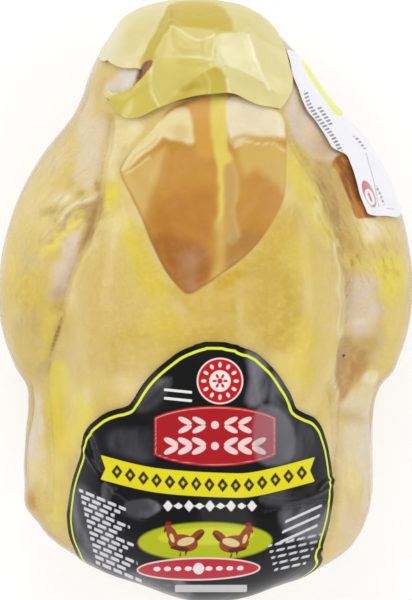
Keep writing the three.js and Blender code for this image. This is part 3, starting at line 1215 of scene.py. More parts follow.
    def _shape_hollow(self, obj: Piece) -> None:
        """Gives the hollow its soft floor, a little below a sheet drawn across it.

        Args:
            obj: the skin's mesh.
        """
        free = Membrane.free_points(obj, 0.0)
        points = Membrane.draw(obj, free, self.draws)
        across, down = VIEW.project(points)
        inside = -side_of_outline(across, down, rounded(HOLLOW, closed=True))
        step = 1.0 * smooth(0, 2.5, inside) * smooth(100, 150, down)
        depth = step + 5.5 * smooth(0, 30, inside) * smooth(105, 170, down)
        points[:, 2] -= np.where(free, depth, 0) * MM
        write_mesh(obj, points)

    def _crinkle(self, across: Array, down: Array) -> Array:
        """Gives how crinkled the skin is at each dot, 0 to 1."""
        total = np.zeros(across.shape)
        for zone in self.crinkles:
            total += zone.lift(across, down)
        return np.clip(total, 0, 1)

    def _colour(self, obj: Piece) -> None:
        """Stores the skin's colours with their painted highlights and shadows, its edges, where shade is
        painted along them, and where it is crinkled.

        Args:
            obj: the skin, in its final shape.
        """
        points, normals = read_mesh(obj)
        u, v = VIEW.project(points)
        across = u + 4.0 * wave_noise(points, 8 * MM, 21)
        down = v + 4.0 * wave_noise(points, 8 * MM, 22)
        facing = smooth(-0.25, 0.25, normals @ VIEW.back())
        outer = np.tile(np.array(Hue.CREAM.value), (len(points), 1))
        for tone, size, seed, low, share in (
            (Hue.BUTTER, 17, 31, -0.2, 0.6),
            (Hue.IVORY, 13, 32, 0.2, 0.45),
            (Hue.TAN, 8, 33, 0.3, 0.3),
        ):
            cloud = smooth(low, 1.0, wave_noise(points, size * MM, seed))
            outer = over(outer, tone, share * cloud)
        for tone in self.tones:
            outer = over(outer, tone.colour, tone.share(across, down) * facing)
        inner = np.tile(np.array(Hue.AMBER.value), (len(points), 1))
        near_across = u + 0.8 * wave_noise(points, 3.5 * MM, 23)
        near_down = v + 0.8 * wave_noise(points, 3.5 * MM, 24)
        for tone in self.hollow_tones:
            inner = over(inner, tone.colour, tone.share(near_across, near_down))
        store_colour(obj, "skin_tone", np.maximum(outer - self.gloss, self.darkest))
        store_colour(obj, "hollow_tone", np.maximum(inner - self.gloss, self.darkest))
        edge = side_of_outline(u, v, rounded(HOLLOW, closed=True))
        hidden = (normals @ VIEW.back() < 0) | (points[:, 2] < self.lowest_hollow)
        store(obj, "hollow_edge", np.where(hidden, FAR, edge))
        # Where shade is painted along the hollow's lip, on its left and lower sides
        sharp = smooth(260, 200, u) + smooth(252, 275, v)
        store(obj, "lip", np.clip(sharp, 0.0, 1.0) * smooth(140, 165, v))
        # Painted shade in the slit, fading lower down
        slit_shade = distance_to_path(u, v, rounded(self.slit_shade))
        slit_shade -= smooth(316, 330, v)
        fade = 3.2 * smooth(336, 378, v)
        store(obj, "slit_shade_edge", np.where(points[:, 2] < self.lowest_slit, FAR, slit_shade + fade))
        # Where shade is painted along the grooves at the breast skin's edges
        flank_shade_lines = np.minimum(
            distance_to_path(u, v, rounded(tuple((x + 3, y) for x, y in RIGHT_EDGE))),
            distance_to_path(u, v, rounded(tuple((x - 2, y) for x, y in LEFT_EDGE))),
        )
        store(obj, "flank_shade_line", np.where(hidden, FAR, flank_shade_lines))
        rust = side_of_outline(u, v, rounded(self.bare_muscle, closed=True))
        behind = normals @ VIEW.back() < -0.2
        store(obj, "muscle_edge", np.where(behind, FAR, rust))
        spot = np.hypot(u - self.speck[0], v - self.speck[1])
        store(obj, "speck", np.where(behind, FAR, spot))
        crinkle = self._crinkle(u, v) * facing
        middle = VIEW.width / 2
        store(obj, "left_crinkle", crinkle * (u < middle))
        store(obj, "right_crinkle", crinkle * (u > middle))
        blotchy = sum(zone.lift(u, v) for zone in self.blotches)
        store(obj, "blotchy", np.clip(blotchy, 0, 1) * facing)


@dataclass(frozen=True)
class SkinFinish:
    """Raw yellow skin, moist under the film, with fine pores and crinkles, and painted shade in its creases,
    its slit and along the hollow's lip.
    """

    roughness: float = 0.46
    pore_scale: float = 420.0
    # Painted shade in the crinkles' valleys and along the breast skin's edges
    crease_shade: Colour = linear(170, 136, 74)
    # Painted shade along the hollow's lip
    lip: Colour = linear(142, 104, 50)
    muscle: Colour = linear(142, 78, 16)
    # Painted shade in the slit
    fibre: Colour = linear(190, 122, 38)
    slit_shade: Colour = linear(128, 90, 46)
    speck: Colour = linear(30, 22, 16)
    blotch: Colour = linear(226, 202, 70)
    patch: Colour = linear(216, 184, 66)
    pale: Colour = linear(240, 226, 184)

    def make(self) -> bpy.types.Material:
        """Returns the material."""
        bench = MaterialBench("raw_skin")
        outer = bench.stored("skin_tone", "Color")
        inner = bench.stored("hollow_tone", "Color")
        inside = bench.mask("hollow_edge", 0.9)
        broad = bench.mottled(outer, self.patch, 150.0, 0.28, 0.06)
        tone = bench.mix(inside, bench.mottled(broad, self.pale, 300.0, 0.08, 0.05), inner)
        # Painted shade along the hollow's lip
        lip = bench.remap(bench.off_edge("hollow_edge"), (0.2, 1.8, 0.42, 0.0))
        tone = bench.mix(bench.math("MULTIPLY", lip, bench.stored("lip")), tone, self.lip)
        fibres = bench.remap(bench.streaks(420.0, 7.0, -71.0), (0.4, 0.62, 0.0, 1.0))
        muscle = bench.mix(fibres, self.muscle, self.fibre)
        tone = bench.mix(bench.mask("muscle_edge", 1.4), tone, muscle)
        # Painted shade along the grooves at the breast skin's edges
        flank_shade = bench.remap(bench.stored("flank_shade_line"), (0.0, 2.6, 0.3, 0.0))
        tone = bench.mix(flank_shade, tone, self.crease_shade)
        # Painted shade in the slit
        slit_shade = bench.remap(bench.stored("slit_shade_edge"), (-0.6, 2.2, 0.75, 0.0))
        tone = bench.mix(slit_shade, tone, self.slit_shade)
        relief = None
        for name, turn in (("left_crinkle", 36.0), ("right_crinkle", -62.0)):
            folds = bench.streaks(430.0, 2.8, turn)
            amount = bench.stored(name)
            # Painted shade in the crinkles' valleys; the same folds also give a bump
            crease_shading = bench.math("MULTIPLY", bench.remap(folds, (0.36, 0.5, 0.6, 0.0)), amount)
            tone = bench.mix(crease_shading, tone, self.crease_shade)
            height = bench.math("MULTIPLY", folds, amount)
            relief = height if relief is None else bench.math("ADD", relief, height)
        patchy = bench.remap(bench.noise(240.0, 4.0, 0.4), (0.5, 0.62, 0.0, 0.6))
        tone = bench.mix(bench.math("MULTIPLY", patchy, bench.stored("blotchy")), tone, self.blotch)
        speck = bench.remap(bench.stored("speck"), (1.6, 2.6, 1.0, 0.0))
        tone = bench.mix(speck, tone, self.speck)
        mottled = bench.mottled(tone, self.patch, 260.0, 0.1, 0.07)
        bench.feed("Base Color", mottled)
        rough = bench.remap(bench.noise(260.0), (0.3, 0.7, self.roughness - 0.1, self.roughness + 0.12))
        bench.feed("Roughness", rough)
        pores = bench.remap(bench.cells(self.pore_scale), (0.0, 0.5, 0.0, 1.0))
        bench.bump(pores, 0.00024, 0.3)
        bench.bump(bench.noise(150.0, 5.0), 0.001, 0.3)
        bench.bump(relief, 0.0013, 0.8)
        bench.settings(
            Specular_IOR_Level=0.3, Subsurface_Weight=0.1, Subsurface_Radius=(1.0, 0.55, 0.25),
            Subsurface_Scale=0.002, Coat_Weight=0.12, Coat_Roughness=0.25,
        )
        return bench.material


# The film


@dataclass
class Film:
    """The clear film, drawn tight over the bird and across the hollow."""

    voxel: float = 1.8 * MM
    rounding: int = 12
    draws: int = 400
    clearance: float = 0.7 * MM
    folds: tuple[Stroke, ...] = (
        Stroke(((98, 100), (80, 120), (66, 140), (52, 152)), 2.4, 0.5),
        Stroke(((92, 108), (76, 134), (64, 160)), 2.0, -0.4),
        Stroke(((286, 152), (287, 190)), 1.6, 0.5),
        Stroke(((226, 140), (262, 142), (286, 150)), 2.4, 0.7),
        Stroke(((142, 160), (158, 146), (178, 140)), 2.6, 0.6),
        Stroke(((162, 190), (168, 160), (170, 140)), 3.4, 0.4),
        Stroke(((20, 392), (30, 404), (26, 430), (24, 470)), 2.6, 0.6),
        Stroke(((34, 396), (40, 420), (38, 450)), 2.2, -0.5),
        Stroke(((380, 392), (372, 420), (370, 460), (368, 500)), 2.6, 0.6),
        Stroke(((352, 412), (346, 440), (350, 480)), 2.4, 0.45),
        Stroke(((242, 284), (245, 320), (243, 352)), 3.0, 0.35),
        Stroke(((60, 228), (76, 214), (96, 204)), 1.8, 0.45),
        Stroke(((52, 244), (72, 224), (90, 216)), 1.8, 0.4),
        Stroke(((40, 262), (58, 246), (70, 238)), 2.0, 0.35),
    )

    def build(self, node: Piece, skin: BVHTree) -> Piece:
        """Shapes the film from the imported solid.

        Args:
            node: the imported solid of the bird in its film.
            skin: the bird's faces.

        Returns:
            The finished piece.
        """
        obj = copy_of_node(node, "clear_film")
        apply_modifier(obj, "REMESH", mode="VOXEL", voxel_size=self.voxel, adaptivity=0.0)
        self._span_hollow(obj, skin)
        apply_modifier(obj, "SMOOTH", factor=0.5, iterations=self.rounding)
        points, normals = read_mesh(obj)
        across, down = VIEW.project(points)
        top = smooth(0.0, 0.35, normals @ VIEW.back())
        lift = np.full(len(points), Layer.FILM.value)
        for stroke in self.folds:
            lift += stroke.lift(across, down) * top
        lift += 0.12 * wave_noise(points, 11 * MM, 41)
        lift += pack_shape(across, down, smooth(0.9, 0.5, np.abs(normals[:, 2])))
        points = points + normals * (lift * MM)[:, None]
        points[:, 2] = np.maximum(points[:, 2], 0.0)
        write_mesh(obj, points)
        shade_smooth(obj)
        obj.data.materials.append(FilmFinish().make())
        return obj

    def _span_hollow(self, obj: Piece, skin: BVHTree) -> None:
        """Draws the film flat across the hollow, and keeps it clear of the skin there.

        Args:
            obj: the film's mesh.
            skin: the bird's faces.
        """
        free = Membrane.free_points(obj, 2.0)
        points = Membrane.draw(obj, free, self.draws)
        moving = np.flatnonzero(free)
        for index in moving:
            x, y, z = points[index]
            hit, _, _, _ = skin.ray_cast(Vector((x, y, 0.2)), Vector((0, 0, -1)))
            if hit is not None:
                points[index, 2] = max(z, hit.z + self.clearance)
        write_mesh(obj, points)


@dataclass(frozen=True)
class FilmFinish:
    """Thin clear film: nearly unseen face on, milky at its edges, with soft glints."""

    haze: Colour = linear(238, 235, 243)
    roughness: float = 0.2
    refraction: float = 1.34

    def make(self) -> bpy.types.Material:
        """Returns the material."""
        bench = MaterialBench("clear_film")
        clear = add_node(bench.nodes, "BsdfTransparent")
        gloss = add_node(bench.nodes, "Fresnel", {"IOR": self.refraction})
        facing = add_node(bench.nodes, "LayerWeight", {"Blend": 0.5})
        rim = bench.remap(facing.outputs["Facing"], (0.55, 0.98, 0.0, 0.42))
        seen = bench.math("MAXIMUM", rim, gloss.outputs["Fac"])
        path = add_node(bench.nodes, "LightPath")
        lighting = bench.math("MAXIMUM", path.outputs["Is Shadow Ray"], path.outputs["Is Diffuse Ray"])
        share = bench.math("MULTIPLY", seen, bench.remap(lighting, (0.0, 1.0, 1.0, 0.0)))
        mixer = add_node(bench.nodes, "MixShader")
        bench.links.new(share, mixer.inputs["Fac"])
        bench.links.new(clear.outputs["BSDF"], mixer.inputs[1])
        bench.links.new(bench.shader.outputs["BSDF"], mixer.inputs[2])
        bench.links.new(mixer.outputs["Shader"], bench.output.inputs["Surface"])
        bench.settings(Base_Color=(*self.haze, 1.0))
        bench.feed("Metallic", bench.remap(facing.outputs["Facing"], (0.3, 0.8, 1.0, 0.0)))
        bench.settings(Roughness=self.roughness)
        bench.bump(bench.noise(90.0, 3.0, 0.6), 0.0006, 0.5)
        return bench.material


# Sheets that lie on the pack


@dataclass(frozen=True)
class Station:
    """One level of a sheet: degrees along it, and to its left and right edges."""

    along: float
    left: float
    right: float


@dataclass(frozen=True)
class DrapedSheet:
    """A thin sheet laid on the film, given in degrees about a centre inside the pack."""

    name: str
    centre: Triple
    stations: tuple[Station, ...]
    columns: int
    rows: int
    thickness: float = 0.25
    across: Triple = (1.0, 0.0, 0.0)
    along: Triple = (0.0, 1.0, 0.0)
    out: Triple = (0.0, 0.0, 1.0)
    foot: Line = ()
    evening: int = 12
    gather: float = 0.0

    def _level(self, share: Array) -> tuple[Array, Array, Array]:
        """Looks up degrees along, left and right for shares of the way up the sheet."""
        along = self.stations[0].along + (self.stations[-1].along - self.stations[0].along) * share
        sides = []
        for edge in ([(s.along, s.left) for s in self.stations], [(s.along, s.right) for s in self.stations]):
            line = rounded(edge)
            sides.append(np.interp(along, [a for a, _ in line], [b for _, b in line]))
        return along, sides[0], sides[1]

    def build(self, film: BVHTree, lift: Callable[[Array, Array, Array], Array]) -> Piece:
        """Lays the sheet on the film.

        Args:
            film: the film's faces.
            lift: gives the sheet's height over its support in millimetres, from points and degrees.

        Returns:
            The sheet, as a surface without its thickness.
        """
        bpy.ops.object.select_all(action="DESELECT")
        bpy.ops.mesh.primitive_grid_add(x_subdivisions=self.columns, y_subdivisions=self.rows, size=1.0)
        obj = bpy.context.object
        obj.name = self.name
        obj.data.name = self.name
        flat, _ = read_mesh(obj)
        share = flat[:, 1] + 0.5
        along, left, right = self._level(share + self.gather * np.sin(math.pi * share))
        side = left + (right - left) * (flat[:, 0] + 0.5)
        if self.foot:
            hem = rounded(self.foot)
            low = np.interp(side, [x for x, _ in hem], [y for _, y in hem])
            top = self.stations[-1].along
            along = low + (top - low) * (flat[:, 1] + 0.5)
        turn, tilt = np.radians(side), np.radians(along)
        axes = [np.array(axis) / np.linalg.norm(axis) for axis in (self.across, self.along, self.out)]
        rays = (
            np.sin(turn)[:, None] * axes[0]
            + (np.cos(turn) * np.sin(tilt))[:, None] * axes[1]
            + (np.cos(turn) * np.cos(tilt))[:, None] * axes[2]
        )
        origin = Vector(self.centre) * MM
        places = np.empty_like(flat)
        normals = np.empty_like(flat)
        for i, ray in enumerate(rays):
            hit, normal, _, _ = film.ray_cast(origin, Vector(ray))
            places[i] = hit
            normals[i] = normal
        places = self._relaxed(places)
        write_mesh(obj, places)
        _, smoothed = read_mesh(obj)
        if (smoothed * normals).sum() < 0:
            smoothed = -smoothed
            obj.data.flip_normals()
        height = (Layer.SHEET.value + lift(places, side, along)) * MM
        write_mesh(obj, places + smoothed * height[:, None])
        shade_smooth(obj)
        return obj

    def _relaxed(self, places: Array) -> Array:
        """Evens out the sheet's surface, with its edges held."""
        grid = places.reshape(self.rows + 1, self.columns + 1, 3).copy()
        for _ in range(self.evening):
            middle = (grid[:-2, 1:-1] + grid[2:, 1:-1] + grid[1:-1, :-2] + grid[1:-1, 2:]) / 4
            grid[1:-1, 1:-1] = middle
        return grid.reshape(-1, 3)

    def thicken(self, obj: Piece) -> None:
        """Gives the sheet its thickness, inwards."""
        apply_modifier(obj, "SOLIDIFY", thickness=self.thickness * MM, offset=-1.0)


@dataclass
class GoldFoil:
    """The crumpled pale gold foil over the hocks."""

    gloss: float = 0.06
    darkest: float = 0.01
    base: Colour = linear(222, 208, 138)
    sheet: DrapedSheet = DrapedSheet(
        name="foil_sheet",
        centre=(-3, 78, 46),
        stations=tuple(Station(*row) for row in (
            (-6, -44, 40), (-1, -49, 44), (5, -46.5, 46), (11, -34, 46.5),
            (17, -28, 46.5), (21, -31, 46), (25, -43, 46), (33, -51, 45.5),
            (48, -55, 44.5), (72, -52, 42), (90, -47, 38), (96, -40, 32),
        )),
        columns=150,
        rows=170,
        foot=(
            (-47, 0), (-43.5, -5), (-37, -10), (-30.5, -9.5), (-20.5, -4), (-11, 0.5), (-2, 3), (11.5, 4.3),
            (19.5, 4), (25, 0.8), (32, -3.2), (41, -4.5), (44.5, -2),
        ),
    )
    creases: tuple[Stroke, ...] = tuple(Stroke(*row, Profile.SHARP) for row in (
        (((172, 7), (171, 26), (152, 61)), 8, 0.9),
        (((160, 18), (150, 40), (140, 63)), 7, -0.7),
        (((152, 62), (151, 86), (162, 111)), 6, 0.7),
        (((171, 26), (180, 30), (197, 40), (215, 35)), 6, 0.8),
        (((230, 32), (215, 36), (213, 52), (219, 67)), 7, 0.8),
        (((182, 57), (204, 60), (219, 67), (227, 80), (230, 97)), 8, 0.9),
        (((219, 67), (240, 70), (264, 88), (290, 100)), 10, 0.6),
        (((248, 35), (259, 68), (269, 89)), 7, 0.8),
        (((171, 26), (172, 48), (182, 57)), 6, 0.5),
        (((200, 40), (199, 54)), 4, 0.5),
        (((108, 104), (126, 96), (146, 84)), 6, 0.5),
        (((118, 116), (124, 104), (132, 96)), 5, 0.4),
        (((120, 10), (128, 34), (146, 58)), 11, 0.5),
        (((182, 90), (200, 74), (216, 68)), 6, 0.5),
        (((206, 98), (210, 82), (206, 72)), 6, 0.4),
    ))
    # Facets of the crumpled foil, painted lighter or darker as light falls on them, with painted highlights
    # along their ridges, painted shade in one crease and a painted shadow in the notch's gap
    facets: tuple[object, ...] = (
        Patch(linear(232, 219, 168), ((96, 84), (104, 64), (126, 56), (142, 62), (132, 82), (112, 96)), 5),
        Patch(linear(230, 221, 178), ((80, 70), (90, 40), (110, 8), (170, -6), (171, 8), (160, 22),
            (142, 56), (118, 62)), 3, 0.8),
        Tone(linear(232, 226, 200), (104, 40), (12, 26), 30, 0.7),
        Tone(linear(226, 212, 146), (138, 34), (14, 20), 30, 0.7),
        Patch(linear(205, 186, 98), ((168, 6), (174, 6), (172, 26), (153, 62), (139, 64), (152, 38),
            (162, 20)), 1),
        Patch(linear(226, 214, 150), ((222, -4), (262, 0), (290, 40), (292, 70), (262, 50), (236, 32),
            (230, 14)), 3),
        Patch(linear(209, 188, 94), ((172, 4), (206, 1), (224, 9), (232, 24), (228, 32), (200, 28),
            (172, 24)), 2),
        Patch(linear(221, 208, 136), ((172, 25), (197, 39), (215, 36), (213, 54), (219, 67), (182, 58),
            (154, 62)), 1.2),
        Tone(linear(212, 196, 118), (186, 48), (9, 6), 0, 0.6),
        Patch(linear(236, 228, 182), ((216, 37), (236, 33), (248, 35), (259, 68), (267, 84), (240, 70),
            (220, 66)), 1.2),
        Patch(linear(232, 222, 166), ((248, 34), (266, 42), (289, 58), (291, 100), (270, 90),
            (259, 68)), 1.2),
        Patch(linear(227, 215, 154), ((220, 67), (240, 70), (268, 88), (292, 100), (288, 112), (272, 116),
            (246, 106), (231, 97)), 1.2),
        Patch(linear(218, 202, 118), ((153, 62), (182, 58), (214, 68), (200, 76), (180, 90), (163, 112),
            (151, 88)), 1.5),
        Patch(linear(209, 190, 94), ((202, 74), (218, 67), (227, 80), (231, 98), (196, 102), (163, 112),
            (180, 90)), 1.5),
        Patch(linear(213, 196, 104), ((150, 64), (151, 88), (162, 112), (130, 124), (104, 104), (128, 88),
            (136, 82)), 1.2),
        Patch(linear(226, 213, 138), ((122, 116), (126, 104), (133, 98), (131, 110), (126, 119)), 1.5, 0.8),
        # Painted highlights along the ridges
        Trace(linear(238, 228, 170), ((152, 62), (151, 86), (156, 100), (162, 111)), 1.0),
        Trace(linear(238, 230, 176), ((171, 26), (180, 30), (197, 40), (215, 35)), 1.0, 0.8),
        Trace(linear(240, 232, 184), ((182, 57), (199, 57), (212, 60)), 1.2, 0.7),
        Trace(linear(240, 232, 184), ((219, 67), (213, 54), (215, 38)), 1.0, 0.7),
        Trace(linear(246, 240, 204), ((248, 35), (259, 68), (269, 89)), 1.4),
        Trace(linear(240, 232, 186), ((227, 80), (230, 92), (234, 98), (246, 104)), 1.8, 0.9),
        # Painted shade in a crease
        Trace(linear(190, 168, 84), ((172, 9), (171, 25)), 1.0, 0.5),
        # Painted highlight along a ridge
        Trace(linear(232, 220, 150), ((205, 72), (210, 84), (207, 98)), 1.2, 0.5),
        # Painted shadow in the gap at the notch
        Patch(linear(142, 104, 78), ((152, 60), (143, 64), (134, 83), (140, 80), (150, 69)), 0.8),
    )

    def build(self, film: BVHTree) -> Piece:
        """Lays and crumples the foil, and paints light and shade on its facets."""
        obj = self.sheet.build(film, self._lift)
        self.sheet.thicken(obj)
        points, normals = read_mesh(obj)
        across, down = VIEW.project(points)
        across = across + 0.8 * wave_noise(points, 4 * MM, 62)
        colour = np.tile(np.array(self.base), (len(points), 1))
        # Paints the facets' light and shade over the foil's colour
        for facet in self.facets:
            colour = over(colour, facet.colour, facet.share(across, down))
        colour = np.maximum(colour - self.gloss, self.darkest)
        store_colour(obj, "foil_tone_and_shade", colour)
        obj.data.materials.append(FoilFinish().make())
        return obj

    def _lift(self, points: Array, side: Array, along: Array) -> Array:
        """Gives the foil's crumpled height, in millimetres."""
        across, down = VIEW.project(points)
        lift = np.full(len(points), 0.3)
        for crease in self.creases:
            lift += crease.lift(across, down)
        return np.maximum(lift, 0) + 0.25 * self._crumple(points) + 0.15 * wave_noise(points, 9 * MM, 61)

    @staticmethod
    def _crumple(points: Array) -> Array:
        """Gives small flat facets with sharp ridges between them, from random cells."""
        chance = np.random.default_rng(17)
        seeds = chance.uniform((-50, 66, 10), (50, 132, 105), size=(150, 3)) * MM
        away = np.linalg.norm(points[:, None] - seeds[None], axis=2)
        away.sort(axis=1)
        return np.clip((away[:, 1] - away[:, 0]) / (6 * MM), 0, 1) - 0.4


@dataclass(frozen=True)
class FoilFinish:
    """Pale gold foil with a satin sheen, over its painted light and shade."""

    deep: Colour = linear(200, 182, 90)

    def make(self) -> bpy.types.Material:
        """Returns the material."""
        bench = MaterialBench("gold_foil")
        tone = bench.stored("foil_tone_and_shade", "Color")
        bench.feed("Base Color", bench.mottled(tone, self.deep, 70.0, 0.1, 0.04))
        bench.settings(Metallic=0.08, Roughness=0.4, Coat_Weight=0.12, Coat_Roughness=0.2)
        bench.bump(bench.noise(140.0, 4.0, 0.5), 0.0005, 0.25)
        return bench.material


class Ink(Enum):
    """The printed colours, from the first laid down to the last."""

    LINE = linear(222, 232, 60)
    PLAQUE = linear(170, 20, 30)
    PLAQUE_RIM = linear(222, 140, 130)
    PLAQUE_MARK = linear(236, 206, 202)
    BADGE_RIM = linear(238, 214, 206)
    BADGE = linear(186, 20, 28)
    BADGE_RING = linear(240, 222, 216)
    BADGE_HEART = linear(188, 26, 32)
    RIBBON = linear(226, 216, 26)
    RIBBON_MARK = linear(58, 44, 16)
    RULE = linear(232, 230, 228)
    MEADOW = linear(178, 188, 20)
    MEADOW_LIGHT = linear(206, 206, 52)
    FEATHER = linear(146, 70, 34)
    FEATHER_DARK = linear(96, 40, 24)
    FEATHER_PALE = linear(222, 200, 146)
    COMB = linear(140, 26, 20)
    BAND_RIM = linear(236, 210, 208)
    BAND = linear(188, 44, 58)
    BAND_MARK = linear(240, 226, 226)
    FOOT_STRIP = linear(198, 195, 196)
    SMALL_PRINT = linear(212, 212, 216)


def ellipse_side(across: Array, down: Array, centre: Spot, half: Spot, turn: float = 0.0) -> Array:
    """Measures how far dots are from an ellipse, less than 0 inside it.

    Args:
        across: dots across.
        down: dots down.
        centre: the ellipse's centre.
        half: its half width and half height, in dots.
        turn: how far it is turned, in degrees.

    Returns:
        The signed distance of each dot, in dots.
    """
    cos, sin = math.cos(math.radians(turn)), math.sin(math.radians(turn))
    dx, dy = across - centre[0], down - centre[1]
    x, y = dx * cos + dy * sin, dy * cos - dx * sin
    size = np.hypot(x / half[0], y / half[1])
    slope = np.hypot(x / half[0] ** 2, y / half[1] ** 2)
    return np.where(slope < TINY, -min(half), size * (size - 1) / np.maximum(slope, TINY))


@dataclass
class FrontLabel:
    """The black printed label over the breast and the neck end."""

    lowest_sheen: float = 30 * MM
    lowest_print: float = 34 * MM
    plaque: Spot = (215, 436.2)
    badge: Spot = (220, 381)
    meadow: Spot = (205, 541.5)
    sheet: DrapedSheet = DrapedSheet(
        name="label_sheet",
        centre=(2, -46, 46),
        stations=tuple(Station(*row) for row in (
            (-96, -33, 20), (-92, -40, 26), (-87, -42, 30.5), (-82, -43.5, 34),
            (-77, -47, 35.5), (-71, -50.5, 35.5), (-66, -52, 38.5), (-61, -53, 43),
            (-55, -54, 46.5), (-48, -54.4, 48.3), (-40, -54, 49), (-32, -53, 49),
            (-25, -53, 48.4), (-19, -52, 47), (-13.5, -49, 45), (-8.6, -44, 41),
            (-6.2, -40.5, 36), (-4.4, -36, 32.5), (-3, -31, 31.4), (-1, -28.8, 30.7),
            (2.2, -26.8, 29.3), (5.2, -24.7, 27.3), (8.2, -22, 25.2), (11, -18.8, 22.7),
            (13.8, -15, 19.6), (16.4, -11, 15.8), (18.4, -6, 10), (19.6, -2, 5),
        )),
        columns=190,
        rows=225,
        gather=0.18,
    )
    folds: tuple[Stroke, ...] = (
        Stroke(((90, 434), (95, 452), (99, 466), (104, 480)), 2.4, -0.8),
        Stroke(((84, 447), (92, 462), (106, 480), (118, 491), (130, 500)), 2.0, 0.6),
        Stroke(((116, 491), (104, 498), (98, 508)), 1.8, 0.5),
        Stroke(((116, 491), (127, 484), (138, 482)), 1.8, 0.4),
        Stroke(((125, 512), (146, 518), (161, 502)), 2.0, 0.5),
        Stroke(((262, 498), (292, 500), (320, 492), (336, 478)), 2.0, 0.6),
        Stroke(((264, 512), (296, 506), (326, 502)), 2.2, -0.5),
        Stroke(((318, 488), (326, 480), (337, 479)), 1.8, 0.8),
        Stroke(((318, 546), (328, 556), (324, 564)), 2.0, 0.8),
        Stroke(((256, 352), (252, 378), (258, 404)), 2.6, 0.4),
        Stroke(((268, 372), (276, 392), (292, 408)), 2.4, 0.4),
        Stroke(((170, 380), (152, 396), (136, 412)), 2.4, 0.4),
    )
    ribbon: Line = ((90, 463), (101.5, 467.5), (156, 480.3), (224, 485.2), (258, 483.5), (314, 469.5),
        (326, 465))
    # A painted veil of the film's sheen over the print, right of the plaque
    sheen_veil: Patch = Patch(linear(150, 148, 156), ((256, 410), (278, 408), (294, 430), (290, 462),
        (257, 460)), 3, 0.36)
    # Grey patches of painted sheen, the film's reflection on the black, with painted glints on two folded
    # facets
    painted_sheens: tuple[Patch, ...] = (
        Patch(linear(118, 116, 122), ((246, 352), (258, 354), (268, 366), (268, 392), (258, 406),
            (246, 402), (250, 378)), 4),
        Patch(linear(96, 95, 102), ((270, 374), (282, 380), (292, 398), (290, 418), (272, 412)), 4),
        Patch(linear(100, 99, 104), ((137, 398), (152, 382), (171, 379), (164, 398), (150, 410),
            (134, 411)), 3.5),
        Patch(linear(66, 65, 70), ((108, 432), (130, 428), (154, 432), (152, 460), (126, 457),
            (108, 448)), 5),
        Patch(linear(74, 73, 78), ((278, 424), (302, 420), (317, 440), (314, 460), (284, 458)), 5),
        Patch(linear(66, 65, 69), ((263, 491), (300, 491), (304, 505), (266, 505)), 3),
        Patch(linear(104, 104, 110), ((72, 488), (92, 492), (106, 520), (118, 556), (114, 584), (98, 576),
            (74, 540)), 5),
        Patch(linear(110, 109, 115), ((118, 574), (168, 572), (186, 584), (186, 600), (128, 600)), 4),
        Patch(linear(108, 107, 112), ((284, 508), (328, 506), (326, 534), (304, 540), (284, 528)), 5),
        Patch(linear(132, 130, 136), ((125, 503), (148, 499), (161, 508), (146, 518), (128, 515)), 1.5, 0.9),
        Patch(linear(108, 107, 112), ((102, 484), (113, 487), (111, 498), (103, 503)), 1.2, 0.8),
    )

    def build(self, film: BVHTree) -> Piece:
        """Lays the label, prints it and paints the film's sheen on it."""
        obj = self.sheet.build(film, self._lift)
        points, _ = read_mesh(obj)
        for ink, distance in self._print(points).items():
            store(obj, ink.name.lower(), distance)
        u, v = VIEW.project(points)
        upper = points[:, 2] > self.lowest_sheen
        # Paints the film's sheen over the black
        tone = np.tile(np.array(LabelFinish.black), (len(points), 1))
        for haze in self.painted_sheens:
            tone = over(tone, haze.colour, haze.share(u, v) * upper)
        store_colour(obj, "sheen_tone", tone)
        store(obj, "sheen_veil", self.sheen_veil.share(u, v) * upper)
        self.sheet.thicken(obj)
        obj.data.materials.append(LabelFinish().make())
        return obj

    def _lift(self, points: Array, side: Array, along: Array) -> Array:
        """Gives the label's height, in millimetres."""
        across, down = VIEW.project(points)
        lift = 0.12 * wave_noise(points, 14 * MM, 71)
        for fold in self.folds:
            lift += fold.lift(across, down)
        return lift

    def _edge(self, points: Array) -> Array:
        """Measures how far in from the label's edge each point is, in dots."""
        count_across, count_along = self.sheet.columns + 1, self.sheet.rows + 1
        grid = points.reshape(count_along, count_across, 3)
        loop = np.concatenate([grid[0], grid[:, -1], grid[-1, ::-1], grid[::-1, 0]])
        step = np.roll(loop, -1, axis=0) - loop
        rim = np.concatenate([loop + step * share for share in (0.0, 0.34, 0.67)])
        away = np.empty(len(points))
        for first in range(0, len(points), 2000):
            block = points[first : first + 2000]
            away[first : first + 2000] = np.linalg.norm(block[:, None] - rim[None], axis=2).min(axis=1)
        return away / VIEW.dot

